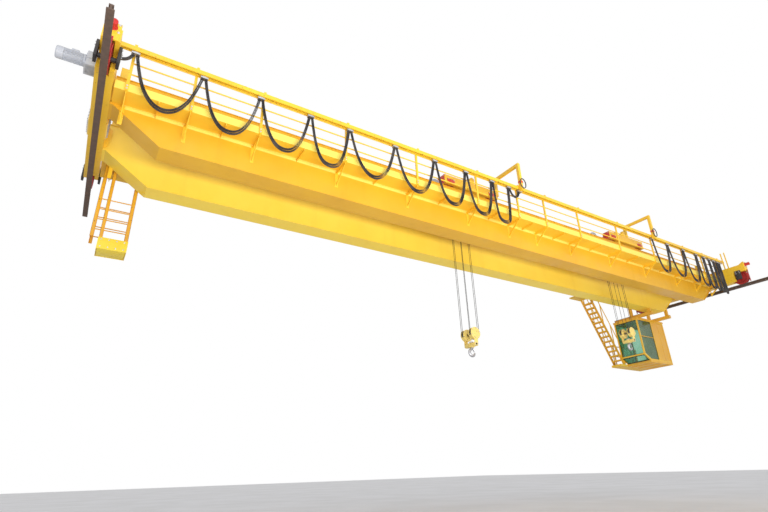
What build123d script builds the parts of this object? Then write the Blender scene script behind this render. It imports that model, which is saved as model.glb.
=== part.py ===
from build123d import *
import math
import os

# Double girder overhead travelling crane with two 10 t crabs on one bridge.
# Millimetres, +Z up. X runs along the girders from the left runway rail to the
# right one, Y runs along the runway away from the walkway with the cable loops.
# The origin is the middle of the underside of the left runway rail.

# Runway rails
span = 25500.0
runway_length = 8200.0
runway_rail_height = 130.0
runway_rail_head = 80.0
runway_rail_foot = 130.0
runway_rail_web = 36.0
rail_head_depth = 36.0
rail_foot_depth = 22.0
running_gap = 0.3

# End carriages and their wheels
carriage_width = 340.0
carriage_length = 5420.0
carriage_height = 700.0
carriage_ground_gap = 150.0
wheel_diameter = 600.0
wheel_end_distance = 290.0
wheel_tread = 92.0
wheel_flange = 22.0
wheel_flange_height = 20.0
wheel_pocket_width = 170.0
wheel_pocket_length = 720.0
wheel_pocket_top_gap = 40.0
carriage_notch_length = 460.0
carriage_notch_height = 380.0
carriage_end_plate = 20.0
axle_diameter = 110.0
bearing_box_size = 230.0
bearing_box_thickness = 60.0
bearing_box_lap = 60.0
buffer_diameter = 160.0
buffer_length = 180.0
buffer_plate_thickness = 20.0
buffer_plate_side_gap = 30.0
buffer_rise = 300.0
buffer_plate_reach = 130.0
gusset_length = 210.0
rail_guard_width = 80.0
rail_guard_thickness = 16.0
rail_guard_gap = 40.0
rail_guard_top = 60.0
end_post_size = 40.0
end_post_height = 780.0
end_post_places = (-2120.0, -1970.0)
splice_length = 620.0
splice_height = 560.0
splice_thickness = 30.0

# Travel drives on the outer sides of the carriages
drive_setback = 620.0
drive_case_length = 220.0
drive_case_half_width = 170.0
drive_case_below = 200.0
drive_case_above = 170.0
drive_motor_length = 520.0
drive_motor_diameter = 260.0
drive_height = 420.0

# Box girders
girder_pitch = 1880.0
girder_depth = 1550.0
girder_drop = 600.0
web_spacing = 510.0
flange_width = 560.0
flange_thickness = 16.0
girder_taper_start = 1290.0
girder_taper_end = 230.0

# Crab rails on the girders
crab_rail_height = 120.0
crab_rail_head = 70.0
crab_rail_foot = 110.0
crab_rail_web = 30.0
crab_rail_end_gap = 260.0
stop_height = 300.0
stop_length = 160.0
stop_width = 200.0
stop_end_gap = 60.0

# Walkways
deck_rise = 806.0
deck_thickness = 9.0
near_deck_width = 545.0
far_deck_width = 940.0
toe_board_height = 205.0
toe_board_thickness = 10.0
deck_end_gap = 30.0
middle_frame_offsets = (660.0, 2450.0, 4770.0, 7090.0, 9410.0)
end_frame_distances = (1740.0, 430.0)
rib_depth = 60.0
rib_thickness = 10.0
bracket_arm_depth = 80.0
bracket_thickness = 16.0
bracket_drop = 470.0
bracket_strut_depth = 60.0

# Handrails
post_width = 60.0
post_depth = 40.0
rail_bar_diameter = 36.0
handrail_levels = (1020.0, 740.0, 435.0)

# Festoon track outside the near handrail
track_width = 100.0
track_height = 110.0
track_wall = 10.0
track_slot = 30.0
track_outreach = 110.0
track_rise = 1060.0
track_overhang = 150.0
hanger_height = 45.0
hanger_width = 60.0

# Festoon carriers and cable loops; carriers stand at distances from the rail
# that their row starts at
carrier_length = 170.0
carrier_width = 110.0
carrier_height = 90.0
carrier_neck = 24.0
carrier_neck_gap = 0.3
carrier_drop = 12.0
carrier_plate = 30.0
carrier_wheel_height = 50.0
carrier_wheel_gap = 4.0
cable_band_width = 110.0
cable_band_thickness = 80.0
cable_band_corner = 25.0
cable_seat_gap = 0.3
cable_pair_gap = 2.0
loop_cable_length = 2970.0
end_loop_cable_length = 660.0
left_carriers = (
    -80.0, 450.0, 1900.0, 3260.0, 4580.0, 5730.0,
    7200.0, 8600.0, 9810.0, 10910.0, 11660.0, 12150.0)
right_carriers = (
    5700.0, 4580.0, 3370.0, 2330.0, 1680.0, 1210.0, 820.0, 510.0, 260.0)

# Electrical cabinets on the far walkway; a place is a distance from the right
# rail, with the cabinet's length after it
cabinet_height = 1500.0
cabinet_depth = 420.0
cabinet_foot = 60.0
cabinet_wall_gap = 120.0
cabinet_foot_length = 100.0
cabinet_foot_inset = 60.0
cabinet_places = ((9650.0, 1100.0), (8190.0, 1300.0), (6690.0, 1100.0))

# Operator's cab under the right end
cab_rail_distance = 2750.0
cab_length = 2150.0
cab_flange_gap = 70.0
cab_width = 1200.0
cab_top_drop = 300.0
cab_height = 2100.0
cab_post = 60.0
cab_roof_thickness = 60.0
cab_roof_overhang = 20.0
cab_floor_thickness = 100.0
cab_panel_thickness = 30.0
cab_glass_thickness = 12.0
cab_toe_height = 230.0
cab_toe_run = 380.0
cab_side_glass_length = 1030.0
cab_mullion_drop = 850.0
cab_beam_width = 150.0
cab_beam_height = 140.0
cab_beam_places = (215.0, 1680.0)
cab_beam_reach = 600.0
cab_hanger_width = 120.0
cab_hanger_near = 60.0
cab_hanger_far = 900.0

# Landing beside the cab and the stair up to the far walkway
landing_width = 510.0
landing_thickness = 100.0
landing_rail_height = 1000.0
stair_rail_height = 900.0
stair_post_shares = (0.04, 0.35, 0.66, 0.96)
landing_post_gap = 700.0
small_post = 40.0
small_bar = 30.0
joint_gap = 0.3
stair_to_cab = 1550.0
stair_slope = 1.96
stair_start_gap = 10.0
stringer_depth = 170.0
stringer_thickness = 12.0
stair_treads = 13
tread_depth = 170.0
tread_thickness = 25.0
stair_platform_length = 800.0
stair_platform_thickness = 60.0

# Inspection cage under the left end of the far walkway
cage_post_places = (310.0, 510.0, 1100.0)
cage_post = 45.0
cage_depth = 520.0
cage_near_gap = 60.0
cage_bottom_drop = 1600.0
cage_toe_height = 300.0
cage_floor_thickness = 40.0
cage_rung_drops = (250.0, 530.0, 810.0, 1090.0)
cage_rung = 28.0

# Crabs
crab_1_distance = 10750.0
crab_2_distance = 6200.0
crab_length = 2300.0
crab_wheel_diameter = 350.0
crab_wheel_base = 1800.0
crab_wheel_width = 72.0
crab_wheel_flange = 16.0
crab_wheel_flange_height = 15.0
crab_beam_width = 300.0
crab_beam_height = 320.0
crab_beam_gap = 100.0
crab_pocket_width = 130.0
crab_pocket_length = 420.0
crab_pocket_top_gap = 20.0
cross_beam_width = 240.0
cross_beam_height = 240.0
cross_beam_offset = 760.0
crab_axle = 70.0
crab_bumper_diameter = 110.0
crab_bumper_length = 140.0

# Hoist on each crab
drum_diameter = 343.0
drum_length = 1080.0
drum_lift = 300.0
drum_offset = 250.0
drum_flange_width = 20.0
drum_flange_reach = 45.0
pedestal_half_width = 130.0
pedestal_reach = 110.0
drum_bearing_width = 120.0
drum_shaft = 90.0
gearbox_width = 260.0
gearbox_height = 520.0
motor_diameter = 380.0
motor_length = 720.0
motor_offset = 780.0
motor_foot_half = 150.0
motor_foot_inset = 70.0
motor_lift = 60.0
gearbox_side_gap = 20.0
gearbox_drum_gap = 80.0
rope_diameter = 16.0
rope_groove_gap = 0.3
rope_rows_left = (-180.0, 150.0, 210.0)
rope_rows_right = (-210.0, -150.0, 180.0)

# Crab travel drive on the cross beam
travel_case_half = 120.0
travel_case_height = 300.0
travel_shaft = 60.0
travel_shaft_lift = 110.0
travel_motor_diameter = 200.0
travel_motor_length = 340.0
travel_box_gap = 30.0
travel_box_width = 100.0
travel_box_half = 70.0
travel_box_height = 180.0

# Tow arm from the crab to the festoon
tow_arm_places = (1400.0, 500.0)
tow_arm_size = 100.0
tow_arm_lift = 720.0
tow_arm_root_y = -850.0
tow_arm_outreach = 115.0
tow_foot_height = 60.0
tow_foot_lift = 20.0
tow_gap = 0.3

# Hook blocks
block_centers = (-2830.0, -1780.0)
sheave_width = 110.0
sheave_spacing = 360.0
guard_diameter = 380.0
guard_plate = 14.0
crosshead_drop = 340.0
crosshead_width = 460.0
crosshead_height = 130.0
crosshead_length = 180.0
sheave_pin_diameter = 80.0
cheek_half_length = 70.0
cheek_rise = 60.0
cheek_lap = 50.0
hook_shank_diameter = 70.0
hook_collar_diameter = 150.0
hook_collar_height = 40.0
hook_opening = 120.0
hook_section = 90.0
hook_drop = 60.0
hook_mouth_offset = 10.0
hook_mouth_gap = 5.0

# Levels worked out from the sizes above
center_x = span / 2
runway_top = runway_rail_height
girder_bottom = runway_top - girder_drop
girder_top = girder_bottom + girder_depth
crab_rail_top = girder_top + crab_rail_height
carriage_bottom = runway_top + carriage_ground_gap
carriage_top = carriage_bottom + carriage_height
wheel_base = carriage_length - 2 * wheel_end_distance
wheel_axis_z = runway_top + running_gap + wheel_diameter / 2
bearing_box_top = carriage_bottom + carriage_notch_height + bearing_box_lap
deck_under = girder_bottom + deck_rise
deck_top = deck_under + deck_thickness
carriage_inner_left = carriage_width / 2
carriage_inner_right = span - carriage_width / 2
web_outer_y = girder_pitch / 2 + web_spacing / 2
near_edge_y = -web_outer_y - near_deck_width
far_edge_y = web_outer_y + far_deck_width
deck_start = carriage_inner_left + deck_end_gap
deck_end = carriage_inner_right - deck_end_gap
deck_length = deck_end - deck_start
frame_offsets = [*middle_frame_offsets, *[center_x - distance for distance in end_frame_distances]]
frame_places = [center_x - o for o in reversed(frame_offsets)]
frame_places += [center_x + o for o in frame_offsets]
crab_places = (crab_1_distance, span - crab_2_distance)
rib_places = [(a + b) / 2 for a, b in zip(frame_places, frame_places[1:])]
track_y = near_edge_y - track_outreach
track_center_z = deck_top + track_rise
track_bottom = track_center_z - track_height / 2
track_top = track_center_z + track_height / 2
crab_axis_z = crab_rail_top + running_gap + crab_wheel_diameter / 2
crab_beam_bottom = crab_rail_top + crab_beam_gap
crab_beam_top = crab_beam_bottom + crab_beam_height
drum_axis_z = crab_beam_top + drum_lift
rope_offset = drum_diameter / 2 + rope_diameter / 2 + rope_groove_gap
flange_edge_y = girder_pitch / 2 + flange_width / 2
cab_y = flange_edge_y + cab_flange_gap
cab_far_y = cab_y + cab_width
cab_top = girder_bottom - cab_top_drop
cab_bottom = cab_top - cab_height
cab_x = span - cab_rail_distance
cab_back_x = cab_x + cab_length
cab_floor_top = cab_bottom + cab_floor_thickness
cab_eaves = cab_top - cab_roof_thickness
cab_sill_z = cab_floor_top + cab_toe_height
cab_split_x = cab_x + cab_post + cab_side_glass_length
stair_x = cab_x - stair_to_cab
stair_rise = deck_top - cab_floor_top
stair_foot_x = stair_x + stair_rise / stair_slope
stringer_reach = stringer_depth * math.sqrt(1 + stair_slope ** 2) / stair_slope
stair_near_y = cab_far_y + stair_start_gap
stair_far_y = stair_near_y + landing_width - stair_start_gap

os.makedirs("parts", exist_ok=True)


def box(x0, x1, y0, y1, z0, z1):
    """Box between two corners."""
    size = (x1 - x0, y1 - y0, z1 - z0)
    middle = ((x0 + x1) / 2, (y0 + y1) / 2, (z0 + z1) / 2)
    return Pos(*middle) * Box(*size)


def rod_x(x0, x1, y, z, diameter):
    """Round bar along X."""
    return Pos((x0 + x1) / 2, y, z) * Rot(0, 90, 0) * Cylinder(diameter / 2, x1 - x0)


def rod_y(x, y0, y1, z, diameter):
    """Round bar along Y."""
    return Pos(x, (y0 + y1) / 2, z) * Rot(90, 0, 0) * Cylinder(diameter / 2, y1 - y0)


def rod_z(x, y, z0, z1, diameter):
    """Round bar along Z."""
    return Pos(x, y, (z0 + z1) / 2) * Cylinder(diameter / 2, z1 - z0)


def prism_y(points, y0, y1):
    """Outline drawn in X and Z, extruded along Y from y0 to y1."""
    outline = [(x, y0, z) for x, z in points]
    face = make_face(Polyline(*outline, close=True))
    return extrude(face, y1 - y0, dir=(0, 1, 0))


def prism_x(points, x0, x1):
    """Outline drawn in Y and Z, extruded along X from x0 to x1."""
    outline = [(x0, y, z) for y, z in points]
    face = make_face(Polyline(*outline, close=True))
    return extrude(face, x1 - x0, dir=(1, 0, 0))


def write(name, pieces):
    """One STEP file holds the separate solids of one node."""
    solids = []
    for piece in pieces:
        solids.extend(piece.solids())
    export_step(Compound(children=solids), f"parts/{name}.step")


def rail_section(center, base, height, head, foot, web):
    """Half outlines of a flat bottomed rail, as across and up pairs."""
    top = base + height
    right = [
        (foot / 2, base),
        (foot / 2, base + rail_foot_depth),
        (web / 2, base + rail_foot_depth + 10),
        (web / 2, top - rail_head_depth),
        (head / 2, top - rail_head_depth),
        (head / 2, top),
    ]
    left = [(-across, up) for across, up in reversed(right)]
    return [(center + across, up) for across, up in right + left]


# Runway: the two short stretches of rail that carry the bridge

def runway_rails():
    half = runway_length / 2
    rails = []
    for x in (0.0, span):
        outline = rail_section(
            x, 0.0, runway_rail_height, runway_rail_head, runway_rail_foot, runway_rail_web)
        rails.append(prism_y(outline, -half, half))
    return rails


# Bridge: girders, carriages, wheels

def girder(y):
    """Box girder whose underside rises to the carriages at both ends."""
    x0 = carriage_inner_left
    x1 = carriage_inner_right
    web_y = web_spacing / 2
    side = [
        (x0, girder_top),
        (x0, carriage_bottom),
        (girder_taper_end, carriage_bottom),
        (girder_taper_start, girder_bottom + flange_thickness),
        (span - girder_taper_start, girder_bottom + flange_thickness),
        (span - girder_taper_end, carriage_bottom),
        (x1, carriage_bottom),
        (x1, girder_top),
    ]
    body = prism_y(side, y - web_y, y + web_y)
    flange_y = flange_width / 2
    top = box(x0, x1, y - flange_y, y + flange_y, girder_top - flange_thickness, girder_top)
    rise = flange_thickness
    sole = [
        (x0, carriage_bottom),
        (girder_taper_end, carriage_bottom),
        (girder_taper_start, girder_bottom),
        (span - girder_taper_start, girder_bottom),
        (span - girder_taper_end, carriage_bottom),
        (x1, carriage_bottom),
        (x1, carriage_bottom + rise),
        (span - girder_taper_end - rise / 2, carriage_bottom + rise),
        (span - girder_taper_start - rise / 2, girder_bottom + rise),
        (girder_taper_start + rise / 2, girder_bottom + rise),
        (girder_taper_end + rise / 2, carriage_bottom + rise),
        (x0, carriage_bottom + rise),
    ]
    bottom = prism_y(sole, y - flange_y, y + flange_y)
    return body + top + bottom


def crab_rails():
    x0 = carriage_inner_left + crab_rail_end_gap
    x1 = carriage_inner_right - crab_rail_end_gap
    rails = []
    for y in (-girder_pitch / 2, girder_pitch / 2):
        outline = rail_section(
            y, girder_top, crab_rail_height, crab_rail_head, crab_rail_foot, crab_rail_web)
        rails.append(prism_x(outline, x0, x1))
    return rails


def crab_stops():
    """Buffer stops welded to the girders past both ends of the crab rails."""
    stops = []
    for y in (-girder_pitch / 2, girder_pitch / 2):
        for x0 in (carriage_inner_left + stop_end_gap,
                   carriage_inner_right - stop_end_gap - stop_length):
            x1 = x0 + stop_length
            stops.append(box(x0, x1, y - stop_width / 2, y + stop_width / 2,
                             girder_top, girder_top + stop_height + crab_rail_height))
    return stops


def end_carriage(x):
    """Box beam with a wheel pocket at each end and the lower corners cut away."""
    half_w = carriage_width / 2
    half_l = carriage_length / 2
    beam = box(x - half_w, x + half_w, -half_l, half_l, carriage_bottom, carriage_top)
    notch_top = carriage_bottom + carriage_notch_height
    pocket_top = wheel_axis_z + wheel_diameter / 2 + wheel_flange_height + wheel_pocket_top_gap
    for side in (-1, 1):
        end = side * half_l
        notch_in = end - side * carriage_notch_length
        beam -= box(x - half_w, x + half_w, min(notch_in, end), max(notch_in, end),
                    carriage_bottom, notch_top)
        pocket_in = side * (wheel_base / 2 - wheel_pocket_length / 2)
        pocket_out = end - side * carriage_end_plate
        beam -= box(x - wheel_pocket_width / 2, x + wheel_pocket_width / 2,
                    min(pocket_in, pocket_out), max(pocket_in, pocket_out),
                    carriage_bottom, pocket_top)
        gusset = [
            (end, carriage_top),
            (end, notch_top + buffer_rise + buffer_plate_reach),
            (end - side * gusset_length, carriage_top),
        ]
        beam += prism_x(gusset, x - half_w + buffer_plate_side_gap,
                        x + half_w - buffer_plate_side_gap)
    return beam


def carriage_splices():
    """Bolted cover plates over the joint in the middle of each carriage."""
    plates = []
    z = (carriage_bottom + carriage_top) / 2
    for x, side in ((carriage_inner_left, 1), (-carriage_inner_left, -1),
                    (carriage_inner_right, -1), (span + carriage_inner_left, 1)):
        x1 = x + side * splice_thickness
        plates.append(box(min(x, x1), max(x, x1), -splice_length / 2, splice_length / 2,
                          z - splice_height / 2, z + splice_height / 2))
    return plates


def bridge_wheel(x, y):
    """Double flanged wheel on its short axle, with a bearing box each side."""
    tread = Pos(x, y, wheel_axis_z) * Rot(0, 90, 0) * Cylinder(wheel_diameter / 2, wheel_tread)
    wheel = tread
    for side in (-1, 1):
        flange_x = x + side * (wheel_tread + wheel_flange) / 2
        rim = wheel_diameter / 2 + wheel_flange_height
        wheel += Pos(flange_x, y, wheel_axis_z) * Rot(0, 90, 0) * Cylinder(rim, wheel_flange)
    reach = carriage_width / 2 + bearing_box_thickness
    wheel += rod_x(x - reach, x + reach, y, wheel_axis_z, axle_diameter)
    for side in (-1, 1):
        x0 = x + side * carriage_width / 2
        x1 = x0 + side * bearing_box_thickness
        half = bearing_box_size / 2
        wheel += box(min(x0, x1), max(x0, x1), y - half, y + half,
                     wheel_axis_z - half, bearing_box_top)
    return wheel


def bridge_wheels():
    wheels = []
    for x in (0.0, span):
        for y in (-wheel_base / 2, wheel_base / 2):
            wheels.append(bridge_wheel(x, y))
    return wheels


def bridge_buffers():
    """Round rubber buffers on end plates that stand up over the carriage ends."""
    buffers = []
    low = carriage_bottom + carriage_notch_height
    axis = low + buffer_rise
    half = carriage_width / 2 - buffer_plate_side_gap
    for x in (0.0, span):
        for side in (-1, 1):
            face = side * carriage_length / 2
            plate_end = face + side * buffer_plate_thickness
            tip = plate_end + side * buffer_length
            plate = box(x - half, x + half, min(face, plate_end), max(face, plate_end),
                        low, axis + buffer_plate_reach)
            rubber = rod_y(x, min(plate_end, tip), max(plate_end, tip), axis, buffer_diameter)
            buffers.append(plate + rubber)
    return buffers


def rail_guards():
    """Flat bars in front of the wheels that sweep the runway rail."""
    guards = []
    top = carriage_bottom + carriage_notch_height + rail_guard_top
    for x in (0.0, span):
        for side in (-1, 1):
            y0 = side * (carriage_length / 2 + buffer_plate_thickness)
            y1 = y0 + side * rail_guard_thickness
            guards.append(box(x - rail_guard_width / 2, x + rail_guard_width / 2,
                              min(y0, y1), max(y0, y1), runway_top + rail_guard_gap, top))
    return guards


def end_posts():
    """Two slim posts on the inner edge of the right carriage, past the walkway."""
    posts = []
    x0 = carriage_inner_right
    for y in end_post_places:
        posts.append(box(x0, x0 + end_post_size, y - end_post_size / 2, y + end_post_size / 2,
                         carriage_top, carriage_top + end_post_height))
    return posts


def travel_drives():
    """Gear motor on the outer side of each carriage, behind its near wheel."""
    drives = []
    for x, side in ((0.0, -1), (span, 1)):
        y = -wheel_base / 2 + drive_setback
        face = x + side * carriage_width / 2
        gear = face + side * drive_case_length
        end = gear + side * drive_motor_length
        z = carriage_bottom + drive_height
        case = box(min(face, gear), max(face, gear),
                   y - drive_case_half_width, y + drive_case_half_width,
                   z - drive_case_below, z + drive_case_above)
        motor = rod_x(min(gear, end), max(gear, end), y, z, drive_motor_diameter)
        drives.append(case + motor)
    return drives


# Walkways, their brackets and handrails

def walkway(y_in, y_out):
    """Deck plate with its toe board along the outer edge and flat ribs below."""
    side = 1 if y_out > y_in else -1
    y0 = min(y_in, y_out)
    y1 = max(y_in, y_out)
    deck = box(deck_start, deck_end, y0, y1, deck_under, deck_top)
    board_out = y_out
    board_in = y_out - side * toe_board_thickness
    deck += box(deck_start, deck_end, min(board_in, board_out), max(board_in, board_out),
                deck_top, deck_under + toe_board_height)
    for x in rib_places:
        deck += box(x - rib_thickness / 2, x + rib_thickness / 2, y0, y1,
                    deck_under - rib_depth, deck_under)
    return deck


def bracket(x, side, width):
    """Cantilever arm under the deck with a strut down to the web."""
    y_web = side * web_outer_y
    y_out = side * (web_outer_y + width)
    x0 = x - bracket_thickness / 2
    x1 = x + bracket_thickness / 2
    arm = box(x0, x1, min(y_web, y_out), max(y_web, y_out),
              deck_under - bracket_arm_depth, deck_under)
    low = deck_under - bracket_drop
    strut = [
        (y_web, low),
        (y_web, low + bracket_strut_depth * 1.4),
        (y_out - side * bracket_strut_depth * 1.4, deck_under - bracket_arm_depth / 2),
        (y_out, deck_under - bracket_arm_depth / 2),
    ]
    return arm + prism_x(strut, x0, x1)


def walkway_brackets():
    pieces = []
    for x in frame_places:
        pieces.append(bracket(x, -1, near_deck_width))
        pieces.append(bracket(x, 1, far_deck_width))
    return pieces


def handrail(y_face, side, top_z, gap_start, gap_end):
    """Posts outside the toe board with three round bars through them."""
    y0 = y_face
    y1 = y_face + side * post_depth
    middle = (y0 + y1) / 2
    spans = [(frame_places[0], frame_places[-1])]
    if gap_end > gap_start:
        spans = [(frame_places[0], gap_start), (gap_end, frame_places[-1])]
    panels = []
    for start, end in spans:
        places = [x for x in frame_places if start <= x <= end]
        if start not in places:
            places.insert(0, start)
        if end not in places:
            places.append(end)
        rail = None
        for x in places:
            post = box(x - post_width / 2, x + post_width / 2, min(y0, y1), max(y0, y1),
                       deck_under, top_z)
            rail = post if rail is None else rail + post
        for level in handrail_levels:
            rail += rod_x(start, end, middle, deck_top + level, rail_bar_diameter)
        panels.append(rail)
    return panels


def festoon_track():
    """Slotted box track hung under short arms that stand out from the posts."""
    x0 = -track_overhang
    x1 = span + track_overhang
    half = track_width / 2
    track = box(x0, x1, track_y - half, track_y + half, track_bottom, track_top)
    track -= box(x0, x1, track_y - half + track_wall, track_y + half - track_wall,
                 track_bottom + track_wall, track_top - track_wall)
    track -= box(x0, x1, track_y - track_slot / 2, track_y + track_slot / 2,
                 track_bottom, track_bottom + track_wall)
    for x in frame_places:
        track += box(x - hanger_width / 2, x + hanger_width / 2,
                     track_y - half, near_edge_y,
                     track_top, track_top + hanger_height)
    return track


def carrier(x):
    """Cable carrier: wheels in the track, a neck through its slot and a clamp below."""
    plate_bottom = track_bottom + track_wall + carrier_neck_gap
    clamp_top = track_bottom - carrier_drop
    half = carrier_length / 2
    inner = track_width / 2 - track_wall - carrier_wheel_gap
    body = box(x - half, x + half, track_y - carrier_width / 2, track_y + carrier_width / 2,
               track_bottom - carrier_height, clamp_top)
    neck = box(x - half / 2, x + half / 2, track_y - carrier_neck / 2, track_y + carrier_neck / 2,
               clamp_top, plate_bottom)
    wheels = box(x - half, x + half, track_y - inner, track_y + inner,
                 plate_bottom, plate_bottom + carrier_wheel_height)
    return body + neck + wheels


def loop_corners(half, sag):
    """Corners of half a hanging loop, in run from its middle and drop, top one first.

    A wide loop hangs as a catenary. A narrow one has steep sides and a round bottom."""
    steep = min(max((sag / half - 1.75) / 3.75, 0.0), 1.0)
    return [
        (half, 0.0),
        (half * (0.91 + 0.08 * steep), sag * (0.254 + 0.046 * steep)),
        (half * (0.645 + 0.315 * steep), sag * (0.722 - 0.042 * steep)),
        (half * (0.238 + 0.662 * steep), sag),
    ]


def loop_path(half, sag):
    """Whole row of corners with the radius of the arc at each inner one."""
    right = loop_corners(half, sag)
    points = [(-run, drop) for run, drop in right] + list(reversed(right))
    radii = []
    for before, corner, after in zip(points, points[1:], points[2:]):
        a = math.dist(before, corner)
        b = math.dist(corner, after)
        heading_in = math.atan2(corner[1] - before[1], corner[0] - before[0])
        heading_out = math.atan2(after[1] - corner[1], after[0] - corner[0])
        turn = abs(heading_out - heading_in)
        radii.append((0.45 * min(a, b) / math.tan(turn / 2), turn))
    return points, radii


def loop_length(half, sag):
    """Length of the loop along its straight runs and arcs."""
    points, radii = loop_path(half, sag)
    length = sum(math.dist(a, b) for a, b in zip(points, points[1:]))
    for radius, turn in radii:
        length += radius * (turn - 2 * math.tan(turn / 2))
    return length


def loop_sag(half, cable_length):
    """Sag at which a loop of this width holds the given length of cable."""
    low = 0.0
    high = cable_length
    for _ in range(50):
        middle = (low + high) / 2
        if loop_length(half, middle) < cable_length:
            low = middle
        else:
            high = middle
    return low


def cable_loop(x0, x1, cable_length):
    """Flat bundle of cables that hangs between two carriers."""
    half = (x1 - x0) / 2
    middle = (x0 + x1) / 2
    sag = loop_sag(half, cable_length)
    points, radii = loop_path(half, sag)
    lean = (points[1][0] - points[0][0]) / math.dist(points[0], points[1])
    top = track_bottom - carrier_height - cable_seat_gap - lean * cable_band_thickness / 2
    corners = [(middle + run, track_y, top - drop) for run, drop in points]
    path = FilletPolyline(*corners, radius=[radius for radius, _ in radii])
    plane = Plane(origin=path @ 0, x_dir=(0, 1, 0), z_dir=path % 0)
    section = plane * RectangleRounded(cable_band_width, cable_band_thickness, cable_band_corner)
    print("loop", round(middle), "length", round(path.length), "sag", round(sag),
          "radii", [round(radius) for radius, _ in radii])
    return sweep(section, path)


def cable_ends(places):
    """Where the bundle leaves each carrier, on its two sides."""
    offset = (cable_band_thickness + cable_pair_gap) / 2
    return [(a + offset, b - offset) for a, b in zip(places, places[1:])]


def festoon_loops(places, end_loops):
    """Loops between neighbouring carriers; the listed ones are short."""
    loops = []
    for number, (x0, x1) in enumerate(cable_ends(places)):
        short = number in end_loops
        loops.append(cable_loop(x0, x1, end_loop_cable_length if short else loop_cable_length))
    return loops


def cabinets():
    """Closed switch cabinets on feet along the outer handrail of the far deck."""
    pieces = []
    y1 = far_edge_y - cabinet_wall_gap
    for start, length in cabinet_places:
        x0 = span - start
        x1 = x0 + length
        body = box(x0, x1, y1 - cabinet_depth, y1, deck_top + cabinet_foot,
                   deck_top + cabinet_foot + cabinet_height)
        for x in (x0 + cabinet_foot_inset, x1 - cabinet_foot_inset - cabinet_foot_length):
            body += box(x, x + cabinet_foot_length, y1 - cabinet_depth, y1, deck_top, deck_top + cabinet_foot)
        pieces.append(body)
    return pieces


# Operator's cab, its hangers, landing and stair

def cab_frame():
    """Posts, sills and head rails of the cab, with the sloping toe bars in front."""
    p = cab_post
    frame = None
    rows = (cab_y, cab_far_y - p)
    for y in rows:
        for x, low in ((cab_x, cab_sill_z), (cab_split_x, cab_floor_top), (cab_back_x - p, cab_floor_top)):
            post = box(x, x + p, y, y + p, low, cab_eaves)
            frame = post if frame is None else frame + post
        frame += box(cab_x, cab_back_x, y, y + p, cab_eaves - p, cab_eaves)
        frame += box(cab_x + cab_toe_run, cab_back_x, y, y + p, cab_floor_top, cab_floor_top + p)
        toe = [
            (cab_x, cab_sill_z + p),
            (cab_x, cab_sill_z),
            (cab_x + cab_toe_run, cab_floor_top),
            (cab_x + cab_toe_run + p, cab_floor_top),
            (cab_x + cab_toe_run + p, cab_floor_top + p),
            (cab_x + p, cab_sill_z + p),
        ]
        frame += prism_y(toe, y, y + p)
    mullion_z = cab_eaves - cab_mullion_drop
    for y in rows:
        frame += box(cab_x + p, cab_split_x, y + p / 4, y + 3 * p / 4, mullion_z, mullion_z + p / 2)
    for z in (cab_sill_z, cab_eaves - p):
        frame += box(cab_x, cab_x + p, cab_y, cab_far_y, z, z + p)
    for x in (cab_x + cab_toe_run, cab_back_x - p):
        frame += box(x, x + p, cab_y, cab_far_y, cab_floor_top, cab_floor_top + p)
    frame += box(cab_back_x - p, cab_back_x, cab_y, cab_far_y, cab_eaves - p, cab_eaves)
    return frame


def cab_glass():
    """Front, side and sloping toe panes, each standing inside the frame."""
    p = cab_post
    g = cab_glass_thickness
    inset = (p - g) / 2
    gap = joint_gap
    mullion_z = cab_eaves - cab_mullion_drop
    panes = []
    panes.append(box(cab_x + inset, cab_x + inset + g, cab_y + p + gap, cab_far_y - p - gap,
                     cab_sill_z + p + gap, cab_eaves - p - gap))
    slope_x = cab_x + cab_toe_run
    toe = [
        (cab_x + 10, cab_sill_z - 2 - g),
        (slope_x - 2, cab_floor_top + 10 - g),
        (slope_x - 2, cab_floor_top + 10),
        (cab_x + 10, cab_sill_z - 2),
    ]
    panes.append(prism_y(toe, cab_y + p + gap, cab_far_y - p - gap))
    for y in (cab_y + inset, cab_far_y - inset - g):
        upper = box(cab_x + p + gap, cab_split_x - gap, y, y + g,
                    mullion_z + p / 2 + gap, cab_eaves - p - gap)
        panes.append(upper)
        low = [
            (cab_x + p + gap, mullion_z - gap),
            (cab_x + p + gap, cab_sill_z + p + gap + 4),
            (cab_x + cab_toe_run + p + gap, cab_floor_top + p + gap + 4),
            (cab_split_x - gap, cab_floor_top + p + gap + 4),
            (cab_split_x - gap, mullion_z - gap),
        ]
        panes.append(prism_y(low, y, y + g))
    return panes


def cab_panels():
    """Solid near side panel behind the glass and the back wall."""
    p = cab_post
    inset = (p - cab_panel_thickness) / 2
    z0 = cab_floor_top + p
    z1 = cab_eaves - p
    panels = []
    panels.append(box(cab_split_x + p, cab_back_x - p, cab_y + inset,
                      cab_y + inset + cab_panel_thickness, z0, z1))
    panels.append(box(cab_back_x - inset - cab_panel_thickness, cab_back_x - inset,
                      cab_y + p, cab_far_y - p, z0, z1))
    return panels


def cab_roof():
    over = cab_roof_overhang
    return box(cab_x - over, cab_back_x + over, cab_y - over, cab_far_y + over,
               cab_eaves, cab_top)


def cab_floor():
    return box(cab_x + cab_toe_run, cab_back_x, cab_y, cab_far_y, cab_bottom, cab_floor_top)


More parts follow.
